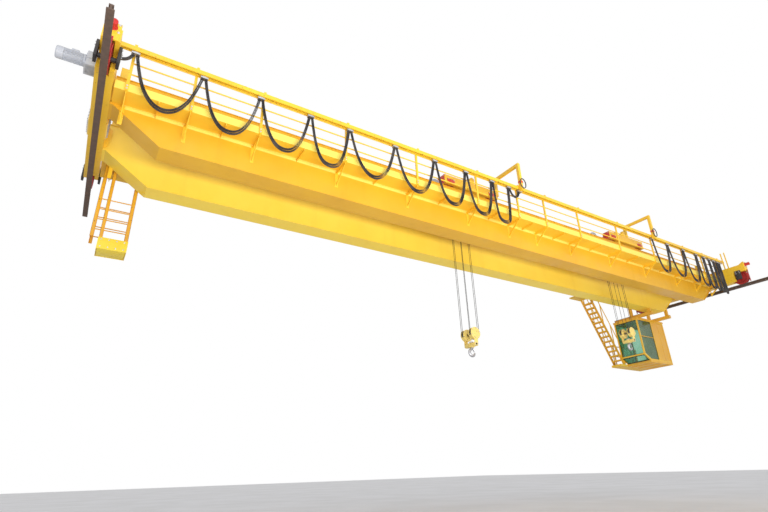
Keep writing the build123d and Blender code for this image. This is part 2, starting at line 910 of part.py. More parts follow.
def cab_hangers():
    """Two beams across the roof, hung from the far girder and the far deck."""
    frame = []
    w = cab_hanger_width
    y0 = girder_pitch / 2 - cab_beam_reach / 2
    for place in cab_beam_places:
        x0 = cab_x + place
        x1 = x0 + cab_beam_width
        hanger_x = (x0 + x1 - w) / 2
        beam = box(x0, x1, y0, cab_far_y, cab_top, cab_top + cab_beam_height)
        sole_z = girder_bottom
        taper_x = span - girder_taper_start
        near_y = y0 + cab_hanger_near
        rise = (carriage_bottom - girder_bottom) / (girder_taper_start - girder_taper_end)
        left_z = sole_z + max(0.0, (hanger_x - taper_x) * rise)
        right_z = sole_z + max(0.0, (hanger_x + w - taper_x) * rise)
        outline = [
            (hanger_x, cab_top + cab_beam_height),
            (hanger_x + w, cab_top + cab_beam_height),
            (hanger_x + w, right_z),
            (hanger_x, left_z),
        ]
        beam += prism_y(outline, near_y, near_y + w)
        far_y = y0 + cab_hanger_near + cab_hanger_far
        beam += box(hanger_x, hanger_x + w, far_y, far_y + w,
                    cab_top + cab_beam_height, deck_under)
        frame.append(beam)
    return frame


def cab_landing():
    """Floor tray along the far side of the cab, from the foot of the stair."""
    return box(stair_foot_x - tread_depth, cab_back_x, cab_far_y, cab_far_y + landing_width,
               cab_floor_top - landing_thickness, cab_floor_top)


def landing_handrail():
    """Posts and bars along the outer edge and the far end of the landing."""
    y0 = cab_far_y + landing_width - small_post
    y1 = cab_far_y + landing_width
    top = cab_floor_top + landing_rail_height
    x0 = stair_foot_x + stringer_reach + small_post
    rail = None
    x = x0
    while x < cab_back_x - small_post:
        post = box(x, x + small_post, y0, y1, cab_floor_top, top)
        rail = post if rail is None else rail + post
        x += landing_post_gap
    rail += box(cab_back_x - small_post, cab_back_x, y0, y1, cab_floor_top, top)
    for level in (landing_rail_height / 2, landing_rail_height):
        z = cab_floor_top + level
        rail += box(x0, cab_back_x, y0, y1, z - small_bar, z)
    return rail


def stair_stringers():
    """Two sloping side plates from the far deck down to the landing."""
    pieces = []
    reach = stringer_reach
    outline = [
        (stair_x, deck_top),
        (stair_x + reach, deck_top),
        (stair_foot_x + reach, cab_floor_top),
        (stair_foot_x, cab_floor_top),
    ]
    for y in (stair_near_y, stair_far_y - stringer_thickness):
        pieces.append(prism_y(outline, y, y + stringer_thickness))
    return pieces


def stair_tread_plates():
    treads = []
    reach = stringer_reach
    step = stair_rise / (stair_treads + 1)
    for number in range(1, stair_treads + 1):
        z = deck_top - number * step
        middle = stair_x + number * step / stair_slope + reach / 2
        treads.append(box(middle - tread_depth / 2, middle + tread_depth / 2,
                          stair_near_y + stringer_thickness,
                          stair_far_y - stringer_thickness, z - tread_thickness, z))
    return treads


def stair_platform():
    """Short platform at the top of the stair, level with the far deck."""
    x0 = stair_x - stair_platform_length
    return box(x0, stair_x, far_edge_y, stair_far_y,
               deck_top - stair_platform_thickness, deck_top)


def stair_handrails():
    """Sloping bar on flat posts that stand on the stringers."""
    rails = []
    top_x = stair_x + stringer_reach
    foot_x = stair_foot_x + stringer_reach
    bar = [
        (top_x, deck_top + stair_rail_height),
        (foot_x, cab_floor_top + stair_rail_height),
        (foot_x, cab_floor_top + stair_rail_height - 2 * small_bar),
        (top_x, deck_top + stair_rail_height - 2 * small_bar),
    ]
    for y in (stair_near_y, stair_far_y - stringer_thickness):
        y_mid = y + stringer_thickness / 2
        rail = prism_y(bar, y_mid - small_bar / 2, y_mid + small_bar / 2)
        for share in stair_post_shares:
            x = top_x + share * (foot_x - top_x)
            z = deck_top - share * stair_rise
            drop = small_post * stair_slope
            post = [
                (x, z),
                (x + small_post, z - drop),
                (x + small_post, z - drop + stair_rail_height - small_bar),
                (x, z + stair_rail_height - small_bar),
            ]
            rail += prism_y(post, y_mid - small_bar / 2, y_mid + small_bar / 2)
        rails.append(rail)
    return rails


def cage():
    """Hanging basket: posts from the deck, a floor with a toe plate and rungs."""
    p = cage_post
    y0 = flange_edge_y + cage_near_gap
    y1 = y0 + cage_depth
    bottom = girder_bottom - cage_bottom_drop
    posts = None
    for x in cage_post_places:
        low = bottom + (cage_toe_height if x == cage_post_places[0] else 0.0)
        for y in (y0, y1 - p):
            post = box(x, x + p, y, y + p, low, deck_under)
            posts = post if posts is None else posts + post
    first, second, last = cage_post_places
    x0 = second
    x1 = last + p
    frame = posts
    frame += box(x0, x1, y0, y1, bottom, bottom + cage_floor_thickness)
    for y in (y0, y1 - cage_rung / 2):
        frame += box(x0, x1, y, y + cage_rung / 2, bottom, bottom + cage_toe_height)
    for drop in cage_rung_drops:
        z = girder_bottom - drop
        for y in (y0, y1 - cage_rung):
            frame += box(first, x1, y, y + cage_rung, z - cage_rung, z)
        frame += box(first, first + cage_rung, y0, y1, z - cage_rung, z)
        frame += box(x1 - cage_rung, x1, y0, y1, z - cage_rung, z)
    return frame


# The crabs, each with its frame, hoist and tow arm

def crab_frame(x):
    """Two wheel beams over the rails, joined by two cross beams."""
    half = crab_length / 2
    frame = None
    for side in (-1, 1):
        y = side * girder_pitch / 2
        beam = box(x - half, x + half, y - crab_beam_width / 2, y + crab_beam_width / 2,
                   crab_beam_bottom, crab_beam_top)
        for wheel_x in (x - crab_wheel_base / 2, x + crab_wheel_base / 2):
            top = (crab_axis_z + crab_wheel_diameter / 2 + crab_wheel_flange_height
                   + crab_pocket_top_gap)
            beam -= box(wheel_x - crab_pocket_length / 2, wheel_x + crab_pocket_length / 2,
                        y - crab_pocket_width / 2, y + crab_pocket_width / 2,
                        crab_beam_bottom - 1, top)
        frame = beam if frame is None else frame + beam
    inner = girder_pitch / 2 - crab_beam_width / 2
    for offset in (-cross_beam_offset, cross_beam_offset):
        frame += box(x + offset - cross_beam_width / 2, x + offset + cross_beam_width / 2,
                     -inner, inner, crab_beam_top - cross_beam_height, crab_beam_top)
    return frame


def crab_wheel(x, y):
    """Double flanged crab wheel with its axle across the wheel beam."""
    wheel = Pos(x, y, crab_axis_z) * Rot(90, 0, 0) * Cylinder(
        crab_wheel_diameter / 2, crab_wheel_width)
    rim = crab_wheel_diameter / 2 + crab_wheel_flange_height
    for side in (-1, 1):
        flange_y = y + side * (crab_wheel_width + crab_wheel_flange) / 2
        wheel += Pos(x, flange_y, crab_axis_z) * Rot(90, 0, 0) * Cylinder(rim, crab_wheel_flange)
    reach = crab_pocket_width / 2
    wheel += rod_y(x, y - reach, y + reach, crab_axis_z, crab_axle)
    return wheel


def crab_wheels(x):
    wheels = []
    for dx in (-crab_wheel_base / 2, crab_wheel_base / 2):
        for y in (-girder_pitch / 2, girder_pitch / 2):
            wheels.append(crab_wheel(x + dx, y))
    return wheels


def crab_bumpers(x):
    bumpers = []
    z = crab_beam_bottom + crab_beam_height / 2
    for side in (-1, 1):
        for y in (-girder_pitch / 2, girder_pitch / 2):
            x0 = x + side * crab_length / 2
            x1 = x0 + side * crab_bumper_length
            bumpers.append(rod_x(min(x0, x1), max(x0, x1), y, z, crab_bumper_diameter))
    return bumpers


def drum(x):
    """Rope drum on its shaft, between two pedestal bearings on the wheel beams."""
    half = drum_length / 2
    inner = girder_pitch / 2 - crab_beam_width / 2
    barrel = rod_y(x, -half, half, drum_axis_z, drum_diameter)
    for side in (-1, 1):
        y0 = side * (half - drum_flange_width)
        y1 = side * half
        barrel += rod_y(x, min(y0, y1), max(y0, y1), drum_axis_z,
                        drum_diameter + 2 * drum_flange_reach)
    barrel += rod_y(x, -inner - drum_bearing_width, inner + drum_bearing_width,
                    drum_axis_z, drum_shaft)
    for side in (-1, 1):
        y0 = side * inner
        y1 = side * (inner + drum_bearing_width)
        barrel += box(x - pedestal_half_width, x + pedestal_half_width, min(y0, y1), max(y0, y1),
                      crab_beam_top, drum_axis_z + pedestal_reach)
    return barrel


def hoist_drive(x):
    """Reduction gearbox beside the drum and the motor across the crab."""
    y1 = girder_pitch / 2 - crab_beam_width / 2 - gearbox_side_gap
    y0 = y1 - gearbox_width
    gear_left = x - cross_beam_offset - cross_beam_width / 2
    gear_right = x + drum_offset - drum_diameter / 2 - gearbox_drum_gap
    gear = box(gear_left, gear_right, y0, y1, crab_beam_top, crab_beam_top + gearbox_height)
    motor_x = x - motor_offset
    motor_z = crab_beam_top + motor_diameter / 2 + motor_lift
    motor = rod_y(motor_x, y0 - motor_length, y0, motor_z, motor_diameter)
    foot = box(motor_x - motor_foot_half, motor_x + motor_foot_half,
               y0 - motor_length + motor_foot_inset, y0 - motor_foot_inset,
               crab_beam_top, motor_z)
    return gear + motor + foot


def travel_gear(x):
    """Crab travel motor on the cross beam with its shaft to both wheel beams."""
    tx = x + cross_beam_offset
    inner = girder_pitch / 2 - crab_beam_width / 2
    case = box(tx - travel_case_half, tx + travel_case_half, -travel_case_half, travel_case_half,
               crab_beam_top, crab_beam_top + travel_case_height)
    shaft = rod_y(tx, -inner + travel_box_gap, inner - travel_box_gap,
                  crab_beam_top + travel_shaft_lift, travel_shaft)
    motor = rod_z(tx, 0, crab_beam_top + travel_case_height,
                  crab_beam_top + travel_case_height + travel_motor_length, travel_motor_diameter)
    gear = case + shaft + motor
    for side in (-1, 1):
        y0 = side * (inner - travel_box_gap)
        y1 = y0 - side * travel_box_width
        gear += box(tx - travel_box_half, tx + travel_box_half, min(y0, y1), max(y0, y1),
                    crab_beam_top, crab_beam_top + travel_box_height)
    return gear


def tow_arm(x, offset):
    """Foot on the crab, arm over the handrail and leg down to the festoon track."""
    half = tow_arm_size / 2
    ax = x + offset
    top = crab_beam_top + tow_arm_lift
    leg_y = track_y - tow_arm_outreach
    foot_z = track_bottom - carrier_height + tow_foot_lift
    y0 = tow_arm_root_y - half
    y1 = tow_arm_root_y + half
    post = box(ax - half, ax + half, y0, y1, crab_beam_top, top)
    base_x = min(ax - half, x + crab_length / 2 - 2 * tow_arm_size)
    post += box(base_x, ax + half, y0, y1, crab_beam_top, crab_beam_top + tow_arm_size)
    arm = box(ax - half, ax + half, leg_y - half, y1, top - tow_arm_size, top)
    leg = box(ax - half, ax + half, leg_y - half, leg_y + half, foot_z, top)
    finger = box(ax - half, ax + half, leg_y - half, track_y - carrier_width / 2 - tow_gap,
                 foot_z, foot_z + tow_foot_height)
    return post + arm + leg + finger


def rope_falls(x, block_z):
    """Six straight falls between the drum and the sheaves of the hook block."""
    falls = []
    for side, rows in ((-1, rope_rows_left), (1, rope_rows_right)):
        for y in rows:
            falls.append(rod_z(x + side * rope_offset, y, block_z, drum_axis_z, rope_diameter))
    return falls


# Hook blocks and hooks

def hook_block(x, z):
    """Two guarded sheaves on one pin, with cheeks down to the crosshead."""
    pin = rod_y(x, -crosshead_width / 2, crosshead_width / 2, z, sheave_pin_diameter)
    block = pin
    for side in (-1, 1):
        y = side * sheave_spacing / 2
        block += rod_y(x, y - sheave_width / 2, y + sheave_width / 2, z, drum_diameter)
        for edge in (-1, 1):
            face = y + edge * (sheave_width / 2 + guard_plate / 2)
            block += rod_y(x, face - guard_plate / 2, face + guard_plate / 2, z, guard_diameter)
        cheek_y = side * (crosshead_width / 2 + guard_plate / 2)
        block += box(x - cheek_half_length, x + cheek_half_length,
                     cheek_y - guard_plate / 2, cheek_y + guard_plate / 2,
                     z - crosshead_drop - cheek_lap, z + cheek_rise)
    cross_z = z - crosshead_drop
    beam = box(x - crosshead_length / 2, x + crosshead_length / 2,
               -crosshead_width / 2, crosshead_width / 2,
               cross_z - crosshead_height / 2, cross_z + crosshead_height / 2)
    beam -= rod_z(x, 0, cross_z - crosshead_height, cross_z + crosshead_height,
                  hook_shank_diameter + 1.0)
    return block + beam


def hook(x, z):
    """Forged single hook hanging in the crosshead by its collar."""
    top = z - crosshead_drop + crosshead_height / 2
    low = z - crosshead_drop - crosshead_height / 2 - hook_drop
    collar = rod_z(x, 0, top + running_gap, top + hook_collar_height, hook_collar_diameter)
    shank = rod_z(x, 0, low, top + hook_collar_height, hook_shank_diameter)
    r = hook_opening / 2 + hook_section / 2
    center_z = low - r
    ring = Pos(x, 0, center_z) * Rot(90, 0, 0) * Torus(r, hook_section / 2)
    mouth = box(x + hook_mouth_offset, x + 2 * r, -hook_section, hook_section,
                center_z + hook_mouth_gap, center_z + 2 * r)
    body = ring - mouth
    return collar + shank + body


write("runway_rails", runway_rails())
write("girder_near", [girder(-girder_pitch / 2)])
write("girder_far", [girder(girder_pitch / 2)])
write("crab_rails", crab_rails())
write("crab_stops", crab_stops())
write("end_carriage_left", [end_carriage(0.0)])
write("end_carriage_right", [end_carriage(span)])
write("carriage_splices", carriage_splices())
write("bridge_wheels", bridge_wheels())
write("bridge_buffers", bridge_buffers())
write("rail_guards", rail_guards())
write("carriage_end_posts", end_posts())
write("travel_drives", travel_drives())
write("walkway_near", [walkway(-web_outer_y, near_edge_y)])
write("walkway_far", [walkway(web_outer_y, far_edge_y)])
write("walkway_brackets", walkway_brackets())
write("handrail_near", handrail(near_edge_y, -1, track_top, 0.0, -1.0))
gap_start = stair_x - stair_platform_length - post_width / 2
gap_end = stair_x + post_width / 2
write("handrail_far", handrail(far_edge_y, 1, deck_top + handrail_levels[0] + 20, gap_start, gap_end))
write("festoon_track", [festoon_track()])
right_places = [span - distance for distance in right_carriers]
write("festoon_carriers_left", [carrier(x) for x in left_carriers])
write("festoon_cable_left", festoon_loops(left_carriers, (0, len(left_carriers) - 2)))
write("festoon_carriers_right", [carrier(x) for x in right_places])
write("festoon_cable_right", festoon_loops(right_places, ()))
write("electrical_cabinets", cabinets())
write("cab_frame", [cab_frame()])
write("cab_glass", cab_glass())
write("cab_panels", cab_panels())
write("cab_roof", [cab_roof()])
write("cab_floor", [cab_floor()])
write("cab_hangers", cab_hangers())
write("cab_landing", [cab_landing()])
write("landing_handrail", [landing_handrail()])
write("stair_stringers", stair_stringers())
write("stair_treads", stair_tread_plates())
write("stair_platform", [stair_platform()])
write("stair_handrails", stair_handrails())
write("inspection_cage", [cage()])
for number, x in enumerate(crab_places, start=1):
    drum_x = x + drum_offset
    z = girder_bottom + block_centers[number - 1]
    write(f"crab_{number}_frame", [crab_frame(x)])
    write(f"crab_{number}_wheels", crab_wheels(x))
    write(f"crab_{number}_bumpers", crab_bumpers(x))
    write(f"crab_{number}_drum", [drum(drum_x)])
    write(f"crab_{number}_hoist_drive", [hoist_drive(x)])
    write(f"crab_{number}_travel_gear", [travel_gear(x)])
    write(f"crab_{number}_tow_arm", [tow_arm(x, tow_arm_places[number - 1])])
    write(f"hoist_{number}_ropes", rope_falls(drum_x, z))
    write(f"hook_block_{number}", [hook_block(drum_x, z)])
    write(f"hook_{number}", [hook(drum_x, z)])
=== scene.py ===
import bmesh
import bpy
import math
from mathutils import Matrix, Vector


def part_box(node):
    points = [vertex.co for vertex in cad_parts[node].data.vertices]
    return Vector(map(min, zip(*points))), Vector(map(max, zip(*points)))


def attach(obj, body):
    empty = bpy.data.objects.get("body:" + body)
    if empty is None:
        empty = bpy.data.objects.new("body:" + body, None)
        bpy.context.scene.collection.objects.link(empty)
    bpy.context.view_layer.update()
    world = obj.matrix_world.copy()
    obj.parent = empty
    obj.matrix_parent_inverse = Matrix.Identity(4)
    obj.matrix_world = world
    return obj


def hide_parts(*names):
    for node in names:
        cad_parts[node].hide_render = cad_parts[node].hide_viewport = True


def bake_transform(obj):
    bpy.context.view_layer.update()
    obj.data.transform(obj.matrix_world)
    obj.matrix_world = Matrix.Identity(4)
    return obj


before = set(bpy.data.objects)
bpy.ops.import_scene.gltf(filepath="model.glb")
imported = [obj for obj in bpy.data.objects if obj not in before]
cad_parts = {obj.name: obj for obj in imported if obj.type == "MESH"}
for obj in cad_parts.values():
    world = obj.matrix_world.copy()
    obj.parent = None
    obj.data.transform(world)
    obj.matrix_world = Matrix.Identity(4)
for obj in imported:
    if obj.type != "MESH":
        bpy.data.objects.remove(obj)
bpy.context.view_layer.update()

# Camera: stands on the hall floor near the left runway and looks up along the
# bridge. Place and angles come from the vanishing points of the girders.
eye = Vector((0.69, -11.29, -7.22))
heading = math.radians(32.46)
lift = math.radians(24.07)
roll = math.radians(-1.82)
forward = Vector((math.sin(heading) * math.cos(lift), math.cos(heading) * math.cos(lift), math.sin(lift)))
level = Vector((math.cos(heading), -math.sin(heading), 0.0))
upright = level.cross(forward)
right = level * math.cos(roll) + upright * math.sin(roll)
up = upright * math.cos(roll) - level * math.sin(roll)
camera = bpy.data.objects.new("camera", bpy.data.cameras.new("camera"))
bpy.context.collection.objects.link(camera)
camera.matrix_world = Matrix.Translation(eye) @ Matrix((right, up, -forward)).transposed().to_4x4()
camera.data.lens = 22.84
camera.data.sensor_width = 36.0
camera.data.clip_start = 0.05
camera.data.clip_end = 500.0
bpy.context.scene.camera = camera


# Festoon cables: stacks of flat rubber cables that hang in loops between the
# carriers under the track and bring power to each crab. Every loop holds the
# same length of cable, so wide loops hang higher than the bunched ones.
def srgb(red, green, blue):
    """Paint colour as seen, 0 to 255, as the shader's linear colour."""
    def linear(value):
        value /= 255
        return value / 12.92 if value <= 0.04045 else ((value + 0.055) / 1.055) ** 2.4
    return (linear(red), linear(green), linear(blue), 1.0)


def noise(tree, place, scale, detail, stretch=(1.0, 1.0, 1.0)):
    """Noise over the object's own coordinates, drawn out along an axis if wanted."""
    mapping = tree.nodes.new("ShaderNodeMapping")
    mapping.inputs["Scale"].default_value = stretch
    tree.links.new(place, mapping.inputs["Vector"])
    texture = tree.nodes.new("ShaderNodeTexNoise")
    texture.inputs["Scale"].default_value = scale
    texture.inputs["Detail"].default_value = detail
    tree.links.new(mapping.outputs["Vector"], texture.inputs["Vector"])
    return texture.outputs["Fac"]


def spread(tree, value, low, high, to_low, to_high):
    """Map one range of a value onto another."""
    node = tree.nodes.new("ShaderNodeMapRange")
    node.inputs["From Min"].default_value = low
    node.inputs["From Max"].default_value = high
    node.inputs["To Min"].default_value = to_low
    node.inputs["To Max"].default_value = to_high
    tree.links.new(value, node.inputs["Value"])
    return node.outputs["Result"]


def blend_colour(tree, factor, under, over):
    """Lay one colour over another; each may be a colour or a socket."""
    node = tree.nodes.new("ShaderNodeMix")
    node.data_type = "RGBA"
    tree.links.new(factor, node.inputs["Factor"])
    for socket, value in ((node.inputs[6], under), (node.inputs[7], over)):
        if isinstance(value, tuple):
            socket.default_value = value
        else:
            tree.links.new(value, socket)
    return node.outputs[2]


def mottled(tree, place, scale, detail, low, high, under, over, most=1.0):
    """One colour over another in soft patches."""
    return blend_colour(tree, spread(tree, noise(tree, place, scale, detail), low, high, 0.0, most),
                        under, over)


def rough_skin(tree, shader, height, distance, strength):
    """Bump a surface by a height value."""
    bump = tree.nodes.new("ShaderNodeBump")
    bump.inputs["Distance"].default_value = distance
    bump.inputs["Strength"].default_value = strength
    tree.links.new(height, bump.inputs["Height"])
    tree.links.new(bump.outputs["Normal"], shader.inputs["Normal"])


def wandering_gloss(tree, shader, place, scale, detail, low, high):
    """Roughness that drifts between two values over the surface."""
    drift = spread(tree, noise(tree, place, scale, detail), 0.3, 0.7, low, high)
    tree.links.new(drift, shader.inputs["Roughness"])


def fresh_material(name):
    """New material with its tree, its shader and the object's own coordinates."""
    material = bpy.data.materials.new(name)
    material.use_nodes = True
    tree = material.node_tree
    place = tree.nodes.new("ShaderNodeTexCoord").outputs["Object"]
    return material, tree, tree.nodes["Principled BSDF"], place


def rubber(name, colour, dust):
    """Matt sheath with a powdery bloom and fine grain."""
    material, tree, shader, place = fresh_material(name)
    bloom = mottled(tree, place, 2.6, 5.0, 0.42, 0.72, colour, dust, 0.55)
    tree.links.new(bloom, shader.inputs["Base Color"])
    wandering_gloss(tree, shader, place, 14.0, 3.0, 0.55, 0.75)
    rough_skin(tree, shader, noise(tree, place, 260.0, 2.0), 0.0006, 0.5)
    return material


cable_rubber = rubber("cable_rubber", srgb(50, 48, 50), srgb(112, 106, 102))

gauge = 25.5
middle_x = gauge / 2
# Gap that keeps two faces out of one plane.
hair = 0.0003
track_low, track_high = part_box("festoon_track")
carrier_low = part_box("festoon_carriers_left")[0].z
track_line_y = -1.85
cable_stack = 0.080
layer_depth = 0.013
layer_width = 0.046
# Each layer's place across and through the stack at the carriers, and how much
# further than the middle one it sags.
layers = ((0.007, 0.026, -0.026), (-0.005, 0.009, -0.008), (0.005, -0.009, 0.010), (-0.008, -0.026, 0.026))
loop_cable = 2.97
end_loop_cable = 0.66
cable_pair = 0.041
left_places = (-12.83, -12.30, -10.85, -9.49, -8.17, -7.02, -5.55, -4.15, -2.94, -1.84, -1.09, -0.60)
right_places = (7.05, 8.17, 9.38, 10.42, 11.07, 11.54, 11.93, 12.24, 12.49)
left_travel = 8.9
left_bunched = 0.303
right_travel = 4.0
right_bunched = 0.18


def loop_corners(half, sag):
    """Corners of a hanging loop as run from its middle and drop, left to right."""
    steep = min(max((sag / half - 1.75) / 3.75, 0.0), 1.0)
    side = [
        (half, 0.0),
        (half * (0.91 + 0.08 * steep), sag * (0.254 + 0.046 * steep)),
        (half * (0.645 + 0.315 * steep), sag * (0.722 - 0.042 * steep)),
        (half * (0.238 + 0.662 * steep), sag),
    ]
    return [(-run, drop) for run, drop in side] + side[::-1]


def loop_sag(half, cable):
    """Sag at which rounded corners leave the loop with the given cable length."""
    low, high = 0.0, cable
    for _ in range(50):
        sag = (low + high) / 2
        row = loop_corners(half, sag)
        length = sum(math.dist(a, b) for a, b in zip(row, row[1:]))
        for a, b, c in zip(row, row[1:], row[2:]):
            turn = abs(math.atan2(c[1] - b[1], c[0] - b[0]) - math.atan2(b[1] - a[1], b[0] - a[0]))
            radius = 0.45 * min(math.dist(a, b), math.dist(b, c)) / math.tan(turn / 2)
            length += radius * (turn - 2 * math.tan(turn / 2))
        low, high = (sag, high) if length < cable else (low, sag)
    return low


def smooth_line(corners):
    """Points along the smooth spline whose control points are the route's corners."""
    line = bpy.data.curves.new("route", "CURVE")
    line.dimensions = "3D"
    spline = line.splines.new("NURBS")
    spline.points.add(len(corners) - 1)
    for point, corner in zip(spline.points, corners):
        point.co = (*corner, 1.0)
    spline.order_u = 3
    spline.use_endpoint_u = True
    spline.resolution_u = 8
    holder = bpy.data.objects.new("route", line)
    bpy.context.collection.objects.link(holder)
    made = bpy.data.meshes.new_from_object(holder.evaluated_get(bpy.context.evaluated_depsgraph_get()))
    points = [vertex.co.copy() for vertex in made.vertices]
    bpy.data.objects.remove(holder)
    bpy.data.curves.remove(line)
    bpy.data.meshes.remove(made)
    return points


def flat_cable(width, depth):
    """Section of one flat cable with round edges and a shallow groove between its cores."""
    half, edge, groove = width / 2, 0.006, 0.004
    side = [(half - edge, -depth / 2), (half, -depth * 0.2), (half, depth * 0.2), (half - edge, depth / 2)]
    top = [(groove, depth / 2), (0.0, depth * 0.36), (-groove, depth / 2)]
    far = [(-x, -z) for x, z in side]
    bottom = [(-x, -z) for x, z in top]
    return side + top + far + bottom


def finished(bm, name, material, sharp=35.0):
    """Close a mesh, turn its faces outwards and make it an object."""
    bmesh.ops.recalc_face_normals(bm, faces=bm.faces)
    mesh = bpy.data.meshes.new(name)
    bm.to_mesh(mesh)
    bm.free()
    mesh.shade_smooth()
    mesh.set_sharp_from_angle(angle=math.radians(sharp))
    mesh.materials.append(material)
    piece = bpy.data.objects.new(name, mesh)
    bpy.context.collection.objects.link(piece)
    return piece


def wall(bm, first, second):
    """Band of faces between two rings of points."""
    for k in range(len(first)):
        n = (k + 1) % len(first)
        bm.faces.new((first[k], first[n], second[n], second[k]))


def swept(bm, points, across, outline, closed_ends=True, twist=0.0):
    """Sweep an outline along points; across is the direction of the outline's first axis."""
    rings = []
    travelled = 0.0
    for number, point in enumerate(points):
        ahead = points[min(number + 1, len(points) - 1)] - points[max(number - 1, 0)]
        ahead.normalize()
        travelled += (point - points[max(number - 1, 0)]).length
        over = (across - ahead * across.dot(ahead)).normalized()
        out = ahead.cross(over)
        turn = twist * travelled
        c, s = math.cos(turn), math.sin(turn)
        rings.append([bm.verts.new(point + over * (a * c - b * s) + out * (a * s + b * c))
                      for a, b in outline])
    for first, second in zip(rings, rings[1:]):
        wall(bm, first, second)
    if closed_ends:
        bm.faces.new(rings[0][::-1])
        bm.faces.new(rings[-1])


def shares(places, travel, bunched):
    """Share of the crab's travel that each carrier makes, from the fixed end on."""
    gained = [0.0]
    for a, b in zip(places, places[1:]):
        gained.append(gained[-1] + (abs(b - a) - bunched) / travel)
    return [min(max(value, 0.0), 1.0) for value in gained]


def follow(piece):
    """Bake a piece's transform into its mesh."""
    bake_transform(piece)


layer_outline = flat_cable(layer_width, layer_depth)
festoon_rows = (
    ("left", "crab_1", left_places, shares(left_places, left_travel, left_bunched), (0, 10)),
    ("right", "crab_2", right_places, shares(right_places[::-1], right_travel, right_bunched)[::-1], ()),
)
for side, crab, places, moved, short in festoon_rows:
    for number in range(len(places) - 1):
        x0 = middle_x + places[number] + cable_pair
        x1 = middle_x + places[number + 1] - cable_pair
        half = (x1 - x0) / 2
        cable = end_loop_cable if number in short else loop_cable
        row = loop_corners(half, loop_sag(half, cable))
        lean = (row[1][0] - row[0][0]) / math.dist(row[0], row[1])
        top = carrier_low - hair - lean * cable_stack / 2
        corners = [Vector(((x0 + x1) / 2 + run, track_line_y, top - drop)) for run, drop in row]
        line = smooth_line(corners)
        bm = bmesh.new()
        drop = line[0].z - min(point.z for point in line)
        for aside, through, slack in layers:
            strand = []
            for k, point in enumerate(line):
                ahead = (line[min(k + 1, len(line) - 1)] - line[max(k - 1, 0)]).normalized()
                out = ahead.cross(Vector((0, 1, 0)))
                loose = min((line[0].z - point.z) / drop, 1.0) ** 2 * slack * min(drop, 1.0)
                strand.append(point + Vector((0, aside, 0)) + out * through - Vector((0, 0, loose)))
            swept(bm, strand, Vector((0, 1, 0)), layer_outline)
        loop = finished(bm, f"festoon_loop_{side}_{number:02d}", cable_rubber)
        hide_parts(f"festoon_cable_{side}")
        follow(loop)


# Festoon carriers: small trolleys that run inside the slotted track. Two pressed
# side plates carry the rollers, and the stack of cables hangs over a curved
# saddle held by bolted clamp bars. All of it is zinc plated steel.
def block(bm, low, high, bevel=0.0):
    """Box between two opposite corners, with its edges rounded off."""
    low, high = (Vector(pick(pair) for pair in zip(low, high)) for pick in (min, max))
    size = high - low
    place = Matrix.Translation((low + high) / 2) @ Matrix.Diagonal((*size, 1.0))
    made = bmesh.ops.create_cube(bm, size=1.0, matrix=place)["verts"]
    if bevel:
        edges = list(dict.fromkeys(edge for vertex in made for edge in vertex.link_edges))
        bmesh.ops.bevel(bm, geom=edges, offset=min(bevel, min(size) * 0.45),
                        segments=2, profile=0.6, affect="EDGES")


def turned(bm, centre, axis, profile, segments=24):
    """Shape turned on a lathe: profile rows are place along the axis and radius."""
    axis = Vector(axis).normalized()
    first = axis.orthogonal().normalized()
    second = axis.cross(first)
    centre = Vector(centre)
    spins = [k * math.tau / segments for k in range(segments)]
    rings = []
    for along, radius in profile:
        middle = centre + axis * along
        if radius < 1e-5:
            rings.append([bm.verts.new(middle)])
            continue
        rings.append([
            bm.verts.new(middle + (first * math.cos(spin) + second * math.sin(spin)) * radius)
            for spin in spins])
    for a, b in zip(rings, rings[1:]):
        for k in range(segments):
            n = (k + 1) % segments
            if len(a) == 1 and len(b) > 1:
                bm.faces.new((a[0], b[k], b[n]))
            elif len(b) == 1 and len(a) > 1:
                bm.faces.new((a[k], b[0], a[n]))
            elif len(a) > 1:
                bm.faces.new((a[k], b[k], b[n], a[n]))
    if len(rings[0]) > 1:
        bm.faces.new(rings[0][::-1])
    if len(rings[-1]) > 1:
        bm.faces.new(rings[-1])


def mirrored(profile, middle=()):
    """Whole lathe profile from its far half, with more rows between the halves if given."""
    return [(-along, radius) for along, radius in profile[::-1]] + list(middle) + profile


def bar(bm, start, end, radius, segments=12):
    """Round bar with slightly broken edges between two points."""
    start, end = Vector(start), Vector(end)
    long = (end - start).length
    soft = min(radius * 0.15, long * 0.2)
    turned(bm, start, end - start, [(0, radius - soft), (soft, radius), (long - soft, radius),
                                    (long, radius - soft)], segments)


def metal(name, colour, shade, rough, grain=180.0, scratch=0.25):
    """Bare or plated metal with drawn-out scratches and dull patches."""
    material, tree, shader, place = fresh_material(name)
    patches = mottled(tree, place, 6.0, 4.0, 0.35, 0.7, colour, shade)
    tree.links.new(patches, shader.inputs["Base Color"])
    shader.inputs["Metallic"].default_value = 0.85
    wandering_gloss(tree, shader, place, 30.0, 4.0, rough - 0.08, rough + 0.12)
    rough_skin(tree, shader, noise(tree, place, grain, 3.0, (1.0, 6.0, 1.0)), 0.0004, scratch)
    return material


zinc_plate = metal("zinc_plate", srgb(214, 214, 216), srgb(176, 176, 180), 0.38)
carrier_long = 0.17
clamp_screw = 0.008
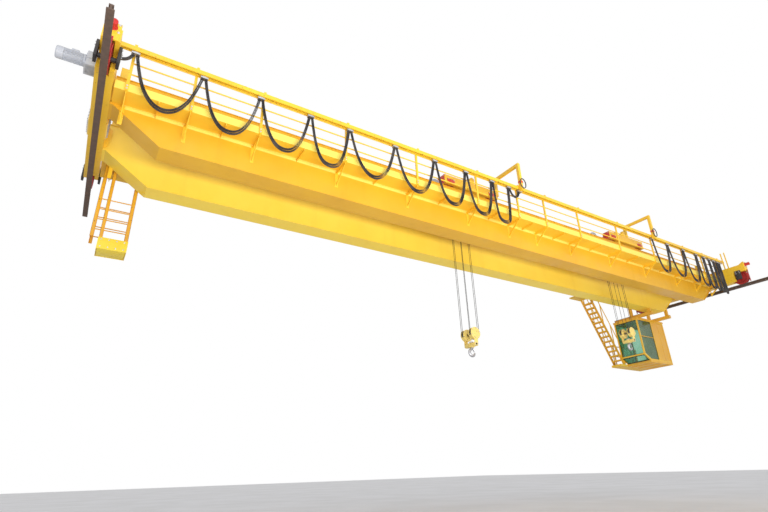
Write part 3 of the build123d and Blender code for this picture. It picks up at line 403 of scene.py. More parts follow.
# Length of a carrier's blend.
carrier_reach = 400.0
for side, crab, places, moved, _ in festoon_rows:
    for number, place_x in enumerate(places):
        x, y = middle_x + place_x, track_line_y
        low, slot_z = carrier_low, track_low.z
        half = carrier_long / 2
        bm = bmesh.new()
        for face in (-1, 1):
            block(bm, (x - half, y + face * 0.018 - 0.004, low + 0.03),
                  (x + half, y + face * 0.018 + 0.004, slot_z - 0.012), 0.002)
            block(bm, (x - half, y + face * 0.046 - 0.009, low),
                  (x + half, y + face * 0.046 + 0.009, low + 0.034), 0.004)
            for dx in (-0.055, 0.055):
                bar(bm, (x + dx, y + face * 0.044, low), (x + dx, y + face * 0.044, low + 0.046),
                    clamp_screw, 8)
                turned(bm, (x + dx, y + face * 0.012, slot_z + 0.036), (0, face, 0),
                       [(0, 0.008), (0.001, 0.022), (0.018, 0.022), (0.019, 0.008)], 20)
        saddle = [(half * math.cos(t * math.pi / 12), 0.052 * math.sin(t * math.pi / 12)) for t in range(13)]
        rows = [[bm.verts.new((x + a, y + edge * 0.05, low + 0.002 + b)) for a, b in saddle]
                for edge in (-1, 1)]
        for k in range(len(saddle) - 1):
            bm.faces.new((rows[0][k], rows[0][k + 1], rows[1][k + 1], rows[1][k]))
        bm.faces.new(rows[0])
        bm.faces.new(rows[1][::-1])
        bm.faces.new((rows[0][0], rows[1][0], rows[1][-1], rows[0][-1]))
        block(bm, (x - half * 0.45, y - 0.012, slot_z - 0.012),
              (x + half * 0.45, y + 0.012, slot_z + 0.045), 0.002)
        trolley = finished(bm, f"festoon_carrier_{side}_{number:02d}", zinc_plate)
        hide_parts(f"festoon_carriers_{side}")
        if moved[number] <= 0.0:
            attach(trolley, "bridge")
        elif moved[number] >= 1.0:
            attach(trolley, crab)
        else:
            reach = carrier_reach if side == "left" else -carrier_reach
            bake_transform(trolley)


# Box girders, carriages, walkways and everything welded: mild steel plate under
# two coats of yellow enamel, with soft clouds of dust, faint runs and small chips.
# The far girder is shown paler, as the light in the hall makes it look.
def maths(tree, operation, *terms):
    """Arithmetic on sockets and plain numbers."""
    node = tree.nodes.new("ShaderNodeMath")
    node.operation = operation
    for socket, term in zip(node.inputs, terms):
        if isinstance(term, float):
            socket.default_value = term
        else:
            tree.links.new(term, socket)
    return node.outputs[0]


seam_width = 0.014
seam_height = 3.0
plate_length = 2.32


def enamel(name, colour, shade, chip=0.0, plates=0.0, gloss=0.34):
    """Sprayed enamel with clouds, runs, orange peel and, if wanted, plate seams."""
    material, tree, shader, place = fresh_material(name)
    tone = mottled(tree, place, 0.7, 6.0, 0.38, 0.68, colour, shade, 0.6)
    runs = spread(tree, noise(tree, place, 1.1, 5.0, (3.0, 3.0, 0.5)), 0.55, 0.80, 0.0, 0.22)
    tone = blend_colour(tree, runs, tone, tuple(c * 0.72 for c in shade[:3]) + (1.0,))
    if chip:
        first = 0.70 - chip * 0.06
        tone = mottled(tree, place, 22.0, 6.0, first, first + 0.03, tone, srgb(122, 84, 52), 0.85)
    tree.links.new(tone, shader.inputs["Base Color"])
    wandering_gloss(tree, shader, place, 1.6, 5.0, gloss - 0.06, gloss + 0.16)
    peel = noise(tree, place, 95.0, 2.0)
    if plates:
        across = tree.nodes.new("ShaderNodeSeparateXYZ")
        tree.links.new(place, across.inputs[0])
        step = maths(tree, "PINGPONG", across.outputs["X"], plates / 2)
        peel = maths(tree, "MULTIPLY_ADD", spread(tree, step, 0.0, seam_width, 1.0, 0.0), seam_height, peel)
    rough_skin(tree, shader, peel, 0.0012, 0.35)
    return material


def repaint(node, material):
    """Give a CAD solid its finish."""
    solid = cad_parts[node]
    solid.data.materials.clear()
    solid.data.materials.append(material)


girder_enamel = enamel("girder_enamel", srgb(234, 181, 42), srgb(222, 165, 36), plates=plate_length)
lit_enamel = enamel("lit_girder_enamel", srgb(255, 223, 80), srgb(250, 210, 68), plates=plate_length)
frame_enamel = enamel("frame_enamel", srgb(250, 205, 54), srgb(236, 184, 46), chip=0.4)
repaint("girder_near", girder_enamel)
repaint("girder_far", lit_enamel)
for node in ("crab_stops", "end_carriage_left", "end_carriage_right", "walkway_brackets",
             "carriage_end_posts"):
    repaint(node, frame_enamel)


# Fasteners: hexagon bolts over round washers wherever plates are bolted. One
# node tree sets them on marked points, each turned to face out of its plate.
def repeat_tree(name):
    """Node tree that takes points, a width and a height, with its first and last nodes."""
    tree = bpy.data.node_groups.new(name, "GeometryNodeTree")
    face = tree.interface
    face.new_socket("Places", in_out="INPUT", socket_type="NodeSocketGeometry")
    for label in ("Width", "Height"):
        face.new_socket(label, in_out="INPUT", socket_type="NodeSocketFloat")
    face.new_socket("Made", in_out="OUTPUT", socket_type="NodeSocketGeometry")
    return tree, tree.nodes.new("NodeGroupInput"), tree.nodes.new("NodeGroupOutput")


def set_out(tree, given, result, shape, material, rotation=None):
    """Put a shape on each given point, as real faces with their material."""
    link = tree.links.new
    spots = tree.nodes.new("GeometryNodeInstanceOnPoints")
    real = tree.nodes.new("GeometryNodeRealizeInstances")
    paint = tree.nodes.new("GeometryNodeSetMaterial")
    paint.inputs["Material"].default_value = material
    link(given.outputs["Places"], spots.inputs["Points"])
    link(shape, spots.inputs["Instance"])
    if rotation:
        link(rotation, spots.inputs["Rotation"])
    link(spots.outputs[0], real.inputs[0])
    link(real.outputs[0], paint.inputs["Geometry"])
    link(paint.outputs[0], result.inputs[0])


def bolt_tree(material):
    """Node tree that puts a washer and a hexagon head on each point."""
    tree, given, result = repeat_tree("bolt_heads")
    nodes, link = tree.nodes, tree.links.new
    width, height = given.outputs["Width"], given.outputs["Height"]
    parts = nodes.new("GeometryNodeJoinGeometry")
    for sides, wide, deep, centre in ((6, 0.55, 1.0, 0.75), (14, 0.95, 0.25, 0.125)):
        prism = nodes.new("GeometryNodeMeshCylinder")
        prism.inputs["Vertices"].default_value = sides
        link(maths(tree, "MULTIPLY", width, wide), prism.inputs["Radius"])
        link(maths(tree, "MULTIPLY", height, deep), prism.inputs["Depth"])
        move = nodes.new("GeometryNodeTransform")
        lift_by = nodes.new("ShaderNodeCombineXYZ")
        link(maths(tree, "MULTIPLY", height, centre), lift_by.inputs["Z"])
        link(prism.outputs["Mesh"], move.inputs["Geometry"])
        link(lift_by.outputs[0], move.inputs["Translation"])
        link(move.outputs[0], parts.inputs[0])
    facing = nodes.new("GeometryNodeInputNamedAttribute")
    facing.data_type = "FLOAT_VECTOR"
    facing.inputs["Name"].default_value = "facing"
    turn = nodes.new("FunctionNodeAlignRotationToVector")
    turn.axis = "Z"
    link(facing.outputs["Attribute"], turn.inputs["Vector"])
    set_out(tree, given, result, parts.outputs[0], material, turn.outputs[0])
    return tree


def bolts(name, places, width, height, body, tree):
    """Bolt heads or louvres as one plain mesh; each place is a point and the way it faces."""
    marks = bpy.data.meshes.new(name + "_marks")
    marks.from_pydata([tuple(point) for point, _ in places], [], [])
    facing = marks.attributes.new("facing", "FLOAT_VECTOR", "POINT")
    facing.data.foreach_set("vector", [value for _, way in places for value in way])
    holder = bpy.data.objects.new(name + "_marks", marks)
    bpy.context.collection.objects.link(holder)
    modifier = holder.modifiers.new("bolts", "NODES")
    modifier.node_group = tree
    sockets = {item.name: item.identifier for item in tree.interface.items_tree if item.in_out == "INPUT"}
    modifier[sockets["Width"]] = width
    modifier[sockets["Height"]] = height
    holder.update_tag()
    mesh = bpy.data.meshes.new_from_object(holder.evaluated_get(bpy.context.evaluated_depsgraph_get()))
    bpy.data.objects.remove(holder)
    bpy.data.meshes.remove(marks)
    piece = bpy.data.objects.new(name, mesh)
    mesh.name = name
    bpy.context.collection.objects.link(piece)
    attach(piece, body)
    return piece


zinc_bolts = bolt_tree(zinc_plate)


# Splice plates: cover plates over the joint in the middle of each carriage, a
# paler yellow than the beam, with rows of high strength bolts on each side of it.
splice_enamel = enamel("splice_enamel", srgb(250, 222, 120), srgb(240, 204, 96))
repaint("carriage_splices", splice_enamel)
splice_low, splice_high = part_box("carriage_splices")
carriage_low, carriage_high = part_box("end_carriage_left")
beam_half = (carriage_high.x - carriage_low.x) / 2
splice_thick = (splice_high.x - splice_low.x - gauge - 2 * beam_half) / 2
splice_rim = 0.05
splice_rows, splice_columns = 8, 6
open_rows = (2, 5)
row_step = (splice_high.y - splice_low.y - 2 * splice_rim) / (splice_rows - 1)
column_step = (splice_high.z - splice_low.z - 2 * splice_rim) / (splice_columns - 1)
splice_bolts = []
for rail_x in (0.0, gauge):
    for side in (-1, 1):
        face_x = rail_x + side * (beam_half + splice_thick)
        for row in range(splice_rows):
            y = splice_low.y + splice_rim + row * row_step
            for column in range(splice_columns):
                if row not in open_rows or column in (0, splice_columns - 1):
                    z = splice_low.z + splice_rim + column * column_step
                    splice_bolts.append(((face_x, y, z), (side, 0, 0)))
bolts("splice_bolts", splice_bolts, 0.036, 0.022, "bridge", zinc_bolts)


# Runway rail stretches: rolled crane rail, rusty on its sides and foot, with a
# head that the wheels keep bright. Clips hold the foot down on both sides.
def rail_steel(name, head_z, band):
    """Rust all over, but for a bright band at the head's height."""
    material, tree, shader, place = fresh_material(name)
    rust = mottled(tree, place, 9.0, 6.0, 0.35, 0.65, srgb(104, 84, 72), srgb(92, 76, 66))
    height = tree.nodes.new("ShaderNodeSeparateXYZ")
    tree.links.new(place, height.inputs[0])
    bright = spread(tree, height.outputs["Z"], head_z - band, head_z - band * 0.4, 0.0, 1.0)
    tree.links.new(blend_colour(tree, bright, rust, srgb(188, 186, 184)), shader.inputs["Base Color"])
    tree.links.new(spread(tree, bright, 0.0, 1.0, 0.15, 0.9), shader.inputs["Metallic"])
    tree.links.new(spread(tree, bright, 0.0, 1.0, 0.75, 0.3), shader.inputs["Roughness"])
    rough_skin(tree, shader, noise(tree, place, 60.0, 5.0), 0.002, 0.5)
    return material


repaint("runway_rails", rail_steel("runway_rail_steel", 0.130, 0.012))
repaint("crab_rails", rail_steel("crab_rail_steel", 1.200, 0.010))
rail_clip_steel = metal("rail_clip_steel", srgb(120, 104, 92), srgb(92, 80, 72), 0.5)
clip_first, clip_pitch, clip_count = -3.9, 0.6, 14
clip_half = 0.035
clip_reach = 0.018
clip_top = 0.033
rail_foot = 0.065
bm = bmesh.new()
clip_bolts = []
for rail_x in (0.0, gauge):
    for number in range(clip_count):
        y = clip_first + number * clip_pitch
        for side in (-1, 1):
            edge = rail_x + side * rail_foot
            block(bm, (edge - side * clip_reach, y - clip_half, 0.0195),
                  (edge, y + clip_half, clip_top), 0.002)
            clip_bolts.append(((edge - side * clip_reach / 2, y, clip_top), (0, 0, 1)))
clips = finished(bm, "runway_rail_clips", rail_clip_steel)
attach(clips, "runway")
bolts("runway_clip_bolts", clip_bolts, 0.014, 0.009, "runway", zinc_bolts)


# Bridge wheels: forged double flanged wheels in red primer, dull in patches, on
# axles in dark bearing plates bolted up under the carriage ends.
def wheel_finish(name):
    """Red primer, dulled in patches."""
    material, tree, shader, place = fresh_material(name)
    worn = mottled(tree, place, 8.0, 5.0, 0.4, 0.7, srgb(176, 44, 40), srgb(142, 38, 34))
    tree.links.new(worn, shader.inputs["Base Color"])
    wandering_gloss(tree, shader, place, 20.0, 3.0, 0.4, 0.6)
    rough_skin(tree, shader, noise(tree, place, 140.0, 3.0), 0.0008, 0.5)
    return material


red_primer = wheel_finish("red_primer")
dark_casting = enamel("dark_casting", srgb(58, 54, 52), srgb(44, 42, 42), gloss=0.5)


def flanged_wheel(bm, centre, axis, tread_radius, tread_width, flange, rise, hub):
    """Rim with two flanges, a dished web and a boss, turned in one piece."""
    half = tread_width / 2
    outer = tread_radius + rise
    profile = mirrored([
        (half, tread_radius), (half + flange * 0.2, outer - 0.004), (half + flange * 0.6, outer),
        (half + flange, outer - 0.008), (half + flange, tread_radius * 0.84),
        (half * 0.45, tread_radius * 0.74), (half * 0.45, hub * 1.15),
        (half + flange, hub), (half + flange, hub * 0.55)])
    turned(bm, centre, axis, profile, 48)


# Tread radius and width, thickness and rise of the flanges, and radius of the hub.
bridge_wheel = (0.30, 0.092, 0.022, 0.020, 0.095)
wheel_axis = 0.4303
wheel_rows = (-2.42, 2.42)
bearing_half = 0.115
bearing_thick = 0.06
bearing_top = 0.72
bm = bmesh.new()
plates = bmesh.new()
plate_bolts = []
for rail_x in (0.0, gauge):
    for y in wheel_rows:
        flanged_wheel(bm, (rail_x, y, wheel_axis), (1, 0, 0), *bridge_wheel)
        for side in (-1, 1):
            inner = rail_x + side * beam_half
            outer = inner + side * bearing_thick
            block(plates, (inner, y - bearing_half, wheel_axis - bearing_half),
                  (outer, y + bearing_half, bearing_top), 0.012)
            turned(plates, (inner + side * 0.02, y, wheel_axis), (side, 0, 0),
                   [(0, 0.055), (0, 0.098), (0.034, 0.098), (0.038, 0.092), (0.038, 0.06), (0.04, 0.055),
                    (0.04, 0.0)], 32)
            bar(plates, (rail_x + side * 0.065, y, wheel_axis),
                (inner + side * 0.03, y, wheel_axis), 0.05, 20)
            for dy in (-0.07, 0.07):
                for z in (0.60, 0.68):
                    plate_bolts.append(((outer, y + dy, z), (side, 0, 0)))
wheels = finished(bm, "bridge_wheel_rims", red_primer)
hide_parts("bridge_wheels")
bearings = finished(plates, "bridge_bearing_plates", dark_casting)
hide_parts("bridge_wheels")
for piece in (wheels, bearings):
    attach(piece, "bridge")
bolts("bearing_bolts", plate_bolts, 0.024, 0.014, "bridge", zinc_bolts)


# Buffers and rail guards: moulded red polyurethane buffers on welded end plates,
# and flat bars in front of the wheels that push things off the rail.
buffer_red = rubber("buffer_red", srgb(196, 38, 34), srgb(206, 66, 58))
end_face = 2.71
end_plate = 0.020
buffer_axis = 0.96
buffer_steps = [
    (0, 0.079), (0.012, 0.080), (0.02, 0.070), (0.06, 0.062), (0.09, 0.068), (0.12, 0.064), (0.15, 0.073),
    (0.172, 0.070), (0.18, 0.056), (0.18, 0.0)]
bm = bmesh.new()
plates = bmesh.new()
end_bolts = []
for rail_x in (0.0, gauge):
    for side in (-1, 1):
        face = side * (end_face + end_plate)
        block(plates, (rail_x - 0.14, side * end_face, 0.66),
              (rail_x + 0.14, face, buffer_axis + 0.13), 0.004)
        turned(bm, (rail_x, face, buffer_axis), (0, side, 0), buffer_steps, 36)
        for dx in (-0.105, 0.105):
            for dz in (-0.10, 0.10):
                end_bolts.append(((rail_x + dx, face, buffer_axis + dz), (0, side, 0)))
buffers = finished(bm, "bridge_buffer_rubbers", buffer_red)
end_plates = finished(plates, "buffer_end_plates", frame_enamel)
for piece, finish in ((buffers, "buffer_rubber"), (end_plates, "yellow_paint")):
    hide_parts("bridge_buffers")
    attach(piece, "bridge")
bolts("buffer_bolts", end_bolts, 0.026, 0.016, "bridge", zinc_bolts)
repaint("rail_guards", red_primer)


# Travel drives: helical gear cases with squirrel cage motors, silver grey, whose
# cooling ribs run along the barrel and whose fan sits under a pressed cowl.
motor_grey = enamel("motor_grey", srgb(196, 199, 206), srgb(176, 180, 188), gloss=0.42)


def ribbed_motor(bm, start, axis, radius, long, fins=26):
    """Motor barrel with lengthwise ribs, end bells and a fan cowl."""
    axis = Vector(axis).normalized()
    start = Vector(start)
    side = (axis.orthogonal() if abs(axis.z) > 0.9 else Vector((0, 0, 1)).cross(axis)).normalized()
    over = side.cross(axis)
    core = radius * 0.84
    turned(bm, start, axis, [
        (0, radius * 0.55), (0, radius * 0.98), (long * 0.05, radius), (long * 0.09, core),
        (long * 0.72, core), (long * 0.73, radius * 0.99), (long * 0.95, radius * 0.99),
        (long * 0.99, radius * 0.86), (long, radius * 0.4), (long, 0)], 40)
    for k in range(fins):
        spin = k * math.tau / fins
        way = side * math.cos(spin) + over * math.sin(spin)
        flat = axis.cross(way) * radius * 0.022
        row = []
        for along in (long * 0.085, long * 0.725):
            for r, f in ((core * 0.99, 1.2), (radius * 0.985, 0.8), (radius * 0.985, -0.8),
                         (core * 0.99, -1.2)):
                row.append(bm.verts.new(start + axis * along + way * r + flat * f))
        wall(bm, row[:4], row[4:])
        bm.faces.new(row[:4])
        bm.faces.new(row[7:3:-1])


def ribbed_case(bm, low, high, ribs, axis=0):
    """Cast gear case: rounded body, split flange round the middle and outer ribs."""
    low, high = Vector(low), Vector(high)
    size = high - low
    inset = 0.07 * min(size)
    block(bm, low + Vector((inset, inset, 0)), high - Vector((inset, inset, 0)), inset * 0.9)
    middle = (low.z + high.z) / 2
    block(bm, (low.x, low.y, middle - inset * 0.5), (high.x, high.y, middle + inset * 0.5), inset * 0.3)
    block(bm, (low.x, low.y, low.z), (high.x, high.y, low.z + inset), inset * 0.3)
    for k in range(ribs):
        at = low[axis] + size[axis] * (k + 1) / (ribs + 1)
        a, b = low.copy(), high.copy()
        a[axis], b[axis] = at - inset * 0.2, at + inset * 0.2
        block(bm, a, (b.x, b.y, high.z - inset), inset * 0.1)


bm = bmesh.new()
drive_y = -1.80
motor_z = 0.70
for rail_x, side in ((0.0, -1), (gauge, 1)):
    face = rail_x + side * beam_half
    gear = face + side * 0.22
    terminals = gear + side * 0.2
    ribbed_case(bm, (min(face, gear), drive_y - 0.17, 0.50), (max(face, gear), drive_y + 0.17, 0.87), 3, 1)
    ribbed_motor(bm, (gear, drive_y, motor_z), (side, 0, 0), 0.13, 0.52)
    block(bm, (terminals - 0.07, drive_y - 0.06, motor_z + 0.10),
          (terminals + 0.07, drive_y + 0.06, motor_z + 0.165), 0.012)
drives = finished(bm, "travel_drive_units", motor_grey)
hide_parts("travel_drives")
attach(drives, "bridge")


# Walkway decks: chequered steel plate with raised lozenges on flat ribs, and a
# toe board along the outer edge. Dust greys the top, and upright faces that look
# along y, such as the toe boards, are made paler as a painted highlight.
def chequered(name, colour, shade):
    """Enamel over rolled lozenges set left and right in turn."""
    material, tree, shader, place = fresh_material(name)
    tone = mottled(tree, place, 0.9, 6.0, 0.35, 0.7, colour, shade, 0.7)
    facing = tree.nodes.new("ShaderNodeNewGeometry")
    split = tree.nodes.new("ShaderNodeSeparateXYZ")
    tree.links.new(facing.outputs["Normal"], split.inputs[0])
    top = spread(tree, split.outputs["Z"], 0.85, 0.97, 0.0, 1.0)
    dusty = maths(tree, "MULTIPLY", top, spread(tree, noise(tree, place, 2.2, 5.0), 0.3, 0.7, 0.15, 0.65))
    # Painted highlight: faces that look along y, the toe boards, are blended towards a paler yellow as if
    # lit.
    upright_highlight = spread(tree, maths(tree, "ABSOLUTE", split.outputs["Y"]), 0.8, 0.95, 0.0, 0.8)
    tone = blend_colour(tree, upright_highlight, tone, srgb(255, 228, 104))
    tree.links.new(blend_colour(tree, dusty, tone, srgb(168, 152, 112)), shader.inputs["Base Color"])
    wandering_gloss(tree, shader, place, 4.0, 4.0, 0.4, 0.6)
    heights = []
    for turn in (0.62, -0.62):
        mapping = tree.nodes.new("ShaderNodeMapping")
        mapping.inputs["Rotation"].default_value = (0, 0, turn)
        mapping.inputs["Scale"].default_value = (18.0, 52.0, 1.0)
        tree.links.new(place, mapping.inputs["Vector"])
        lozenge = tree.nodes.new("ShaderNodeTexVoronoi")
        lozenge.inputs["Scale"].default_value = 1.0
        lozenge.inputs["Randomness"].default_value = 0.0
        tree.links.new(mapping.outputs[0], lozenge.inputs["Vector"])
        heights.append(spread(tree, lozenge.outputs["Distance"], 0.18, 0.30, 1.0, 0.0))
    rough_skin(tree, shader, maths(tree, "MULTIPLY", maths(tree, "MAXIMUM", *heights), top), 0.002, 0.6)
    return material


deck_enamel = chequered("deck_enamel", srgb(248, 202, 54), srgb(232, 180, 44))
for node in ("walkway_near", "walkway_far", "cab_landing", "stair_platform", "stair_treads"):
    repaint(node, deck_enamel)
bm = bmesh.new()
near_low, near_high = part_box("walkway_near")
far_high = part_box("walkway_far")[1]
angle_leg = 0.045
angle_wall = 0.005
start, end, top = near_low.x + 0.02, near_high.x - 0.02, near_high.z
for y, side in ((near_low.y, 1), (far_high.y, -1)):
    edge = y + side * 0.010
    block(bm, (start, edge, top - 0.0001 - angle_leg), (end, edge + side * angle_wall, top - 0.0001), 0.001)
    block(bm, (start, edge, top - angle_wall), (end, edge + side * angle_leg, top - 0.0002), 0.001)
toe_angles = finished(bm, "toe_board_angles", frame_enamel)
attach(toe_angles, "bridge")


# Plate details on the bridge: an angle along each web under the decks, gussets in
# the corners between girders and carriages, and stiffener flats on the brackets.
def flat_plate(bm, outline, place, half):
    """Plate cut to an outline in x and z round a place; half is half its thickness in y."""
    x, y, z = place
    faces = [[bm.verts.new((x + a, y + edge * half, z + b)) for a, b in outline] for edge in (-1, 1)]
    bm.faces.new(faces[0])
    bm.faces.new(faces[1][::-1])
    for k in range(len(outline)):
        n = (k + 1) % len(outline)
        bm.faces.new((faces[0][n], faces[0][k], faces[1][k], faces[1][n]))


web_out = 1.195
web_in = 0.685
toe_board = 0.205
deck_under = near_high.z - toe_board
bracket_offsets = (0.66, 2.45, 4.77, 7.09, 9.41, 11.01, 12.32)
bracket_places = [middle_x - o for o in bracket_offsets[::-1]] + [middle_x + o for o in bracket_offsets]
# Painted highlight: the angles under the decks get a paler enamel than the webs, so they read as a lit line.
lit_angle_enamel = enamel("lit_angle_enamel", srgb(255, 226, 112), srgb(250, 212, 88))
bm = bmesh.new()
ledges = bmesh.new()
for side in (-1, 1):
    y = side * (web_out - hair)
    for a, b in zip(bracket_places, bracket_places[1:]):
        x0, x1 = a + 0.011, b - 0.011
        rib = (a + b) / 2
        for start, end in ((x0, rib - 0.008), (rib + 0.008, x1)):
            if end - start > 0.1:
                for leg, down in ((0.008, 0.070), (0.050, 0.0075)):
                    block(ledges, (start, y, deck_under - down),
                          (end, y + side * leg, deck_under - hair), 0.0015)
    for x in bracket_places:
        block(bm, (x - 0.045, y, deck_under - 0.50), (x + 0.045, y + side * 0.010, deck_under - hair), 0.002)
for rail_x, way in ((carriage_high.x, 1), (gauge - beam_half, -1)):
    for side in (-1, 1):
        for y in (side * (web_in - 0.085), side * (web_out + 0.075)):
            corner = [(rail_x, 0.30), (rail_x + way * 0.10, 0.38), (rail_x + way * 0.13, 0.85),
                      (rail_x, 0.93)]
            if abs(y) > 1.0:
                corner = [(rail_x, 0.352), (rail_x + way * 0.025, 0.352), (rail_x + way * 0.025, 0.80),
                          (rail_x, 0.93)]
            flat_plate(bm, corner, (0.0, y, 0.0), 0.007)
stiffening = finished(bm, "bridge_stiffening", frame_enamel)
deck_angles = finished(ledges, "deck_support_angles", lit_angle_enamel)
for piece in (stiffening, deck_angles):
    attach(piece, "bridge")


# Handrails and the festoon track: flat steel posts with three round bars, bolted
# to the deck edge, and a slotted cold formed track under arms on the posts.
rail_enamel = enamel("rail_enamel", srgb(250, 204, 56), srgb(236, 184, 46), chip=0.9)
for node in ("handrail_near", "handrail_far", "festoon_track", "landing_handrail", "stair_handrails"):
    repaint(node, rail_enamel)
stair_opening = (20.35, 21.25)
track_arm_y = -1.80
post_out = 0.04
post_bolts = []
for x in bracket_places:
    for dz in (0.045, 0.115):
        post_bolts.append(((x, near_low.y - post_out, deck_under + dz), (0, -1, 0)))
        if not stair_opening[0] < x < stair_opening[1]:
            post_bolts.append(((x, far_high.y + post_out, deck_under + dz), (0, 1, 0)))
    for dx in (-0.018, 0.018):
        post_bolts.append(((x + dx, track_arm_y, track_high.z), (0, 0, 1)))
bolts("post_bolts", post_bolts, 0.020, 0.012, "bridge", zinc_bolts)


# Crab frames: two welded wheel beams and two cross beams, in the same yellow as
# the bridge, with red end boxes over the wheels. The motors stand on the frame.
crab_rest = {1: middle_x - 2.0, 2: middle_x + 6.55}
crab_enamel = enamel("crab_enamel", srgb(246, 194, 48), srgb(226, 170, 44), chip=0.9)
signal_red = enamel("signal_red", srgb(204, 66, 38), srgb(176, 52, 34), chip=0.7)
crab_rail_y = 0.94
crab_axis = 1.3753
beam_low = 1.30
beam_top = 1.62
beam_wide = 0.15
crab_half = 1.15
wheel_ahead = 0.9
end_box_half = 0.15
axle_cap = [(0, 0.072), (0.016, 0.070), (0.020, 0.064), (0.020, 0.03), (0.024, 0.026), (0.024, 0)]
for number, x in crab_rest.items():
    crab = f"crab_{number}"
    repaint(f"{crab}_frame", crab_enamel)
    bm = bmesh.new()
    frame_bolts = []
    for side in (-1, 1):
        for edge in (-1, 1):
            for wheel_x in (x - wheel_ahead, x + wheel_ahead):
                y0 = side * crab_rail_y + edge * beam_wide
                y1 = y0 + edge * 0.014
                block(bm, (wheel_x - end_box_half, y0, beam_low + 0.012),
                      (wheel_x + end_box_half, y1, beam_low + 0.19), 0.004)
                turned(bm, (wheel_x, y1, crab_axis), (0, edge, 0), axle_cap, 28)
                for dx in (-0.125, 0.125):
                    for z in (beam_low + 0.035, beam_low + 0.165):
                        frame_bolts.append(((wheel_x + dx, y1, z), (0, edge, 0)))
        for end in (-1, 1):
            x0 = x + end * (crab_half + hair)
            x1 = x0 + end * 0.012
            block(bm, (x0, side * crab_rail_y - 0.145, beam_low + 0.01),
                  (x1, side * crab_rail_y + 0.145, beam_top - 0.01), 0.003)
            for dy in (-0.11, 0.11):
                for z in (beam_low + 0.05, beam_top - 0.05):
                    frame_bolts.append(((x1, side * crab_rail_y + dy, z), (end, 0, 0)))
    boxes = finished(bm, f"{crab}_wheel_boxes", signal_red)
    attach(boxes, crab)
    bolts(f"{crab}_frame_bolts", frame_bolts, 0.020, 0.012, crab, zinc_bolts)


# Crab wheels and bumpers: double flanged wheels on short axles inside the beams,
# and stepped red rubber bumpers that meet the stops at the ends of the rails.
crab_wheel = (0.175, 0.072, 0.016, 0.0149, 0.062)
bumper_steps = [
    (0, 0.055), (0.008, 0.055), (0.012, 0.046), (0.045, 0.040), (0.07, 0.046), (0.09, 0.042), (0.112, 0.050),
    (0.1272, 0.046), (0.1272, 0)]
for number, x in crab_rest.items():
    crab = f"crab_{number}"
    bm = bmesh.new()
    for wheel_x in (x - wheel_ahead, x + wheel_ahead):
        for y in (-crab_rail_y, crab_rail_y):
            flanged_wheel(bm, (wheel_x, y, crab_axis), (0, 1, 0), *crab_wheel)
            bar(bm, (wheel_x, y - 0.0649, crab_axis), (wheel_x, y + 0.0649, crab_axis), 0.035, 20)
    wheels = finished(bm, f"{crab}_wheel_rims", red_primer)
    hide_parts(f"{crab}_wheels")
    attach(wheels, crab)
    bm = bmesh.new()
    for end in (-1, 1):
        for y in (-crab_rail_y, crab_rail_y):
            turned(bm, (x + end * (crab_half + 0.0125), y, (beam_low + beam_top) / 2), (end, 0, 0),
                   bumper_steps, 28)
    bumpers = finished(bm, f"{crab}_bumper_rubbers", buffer_red)
    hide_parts(f"{crab}_bumpers")
    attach(bumpers, crab)


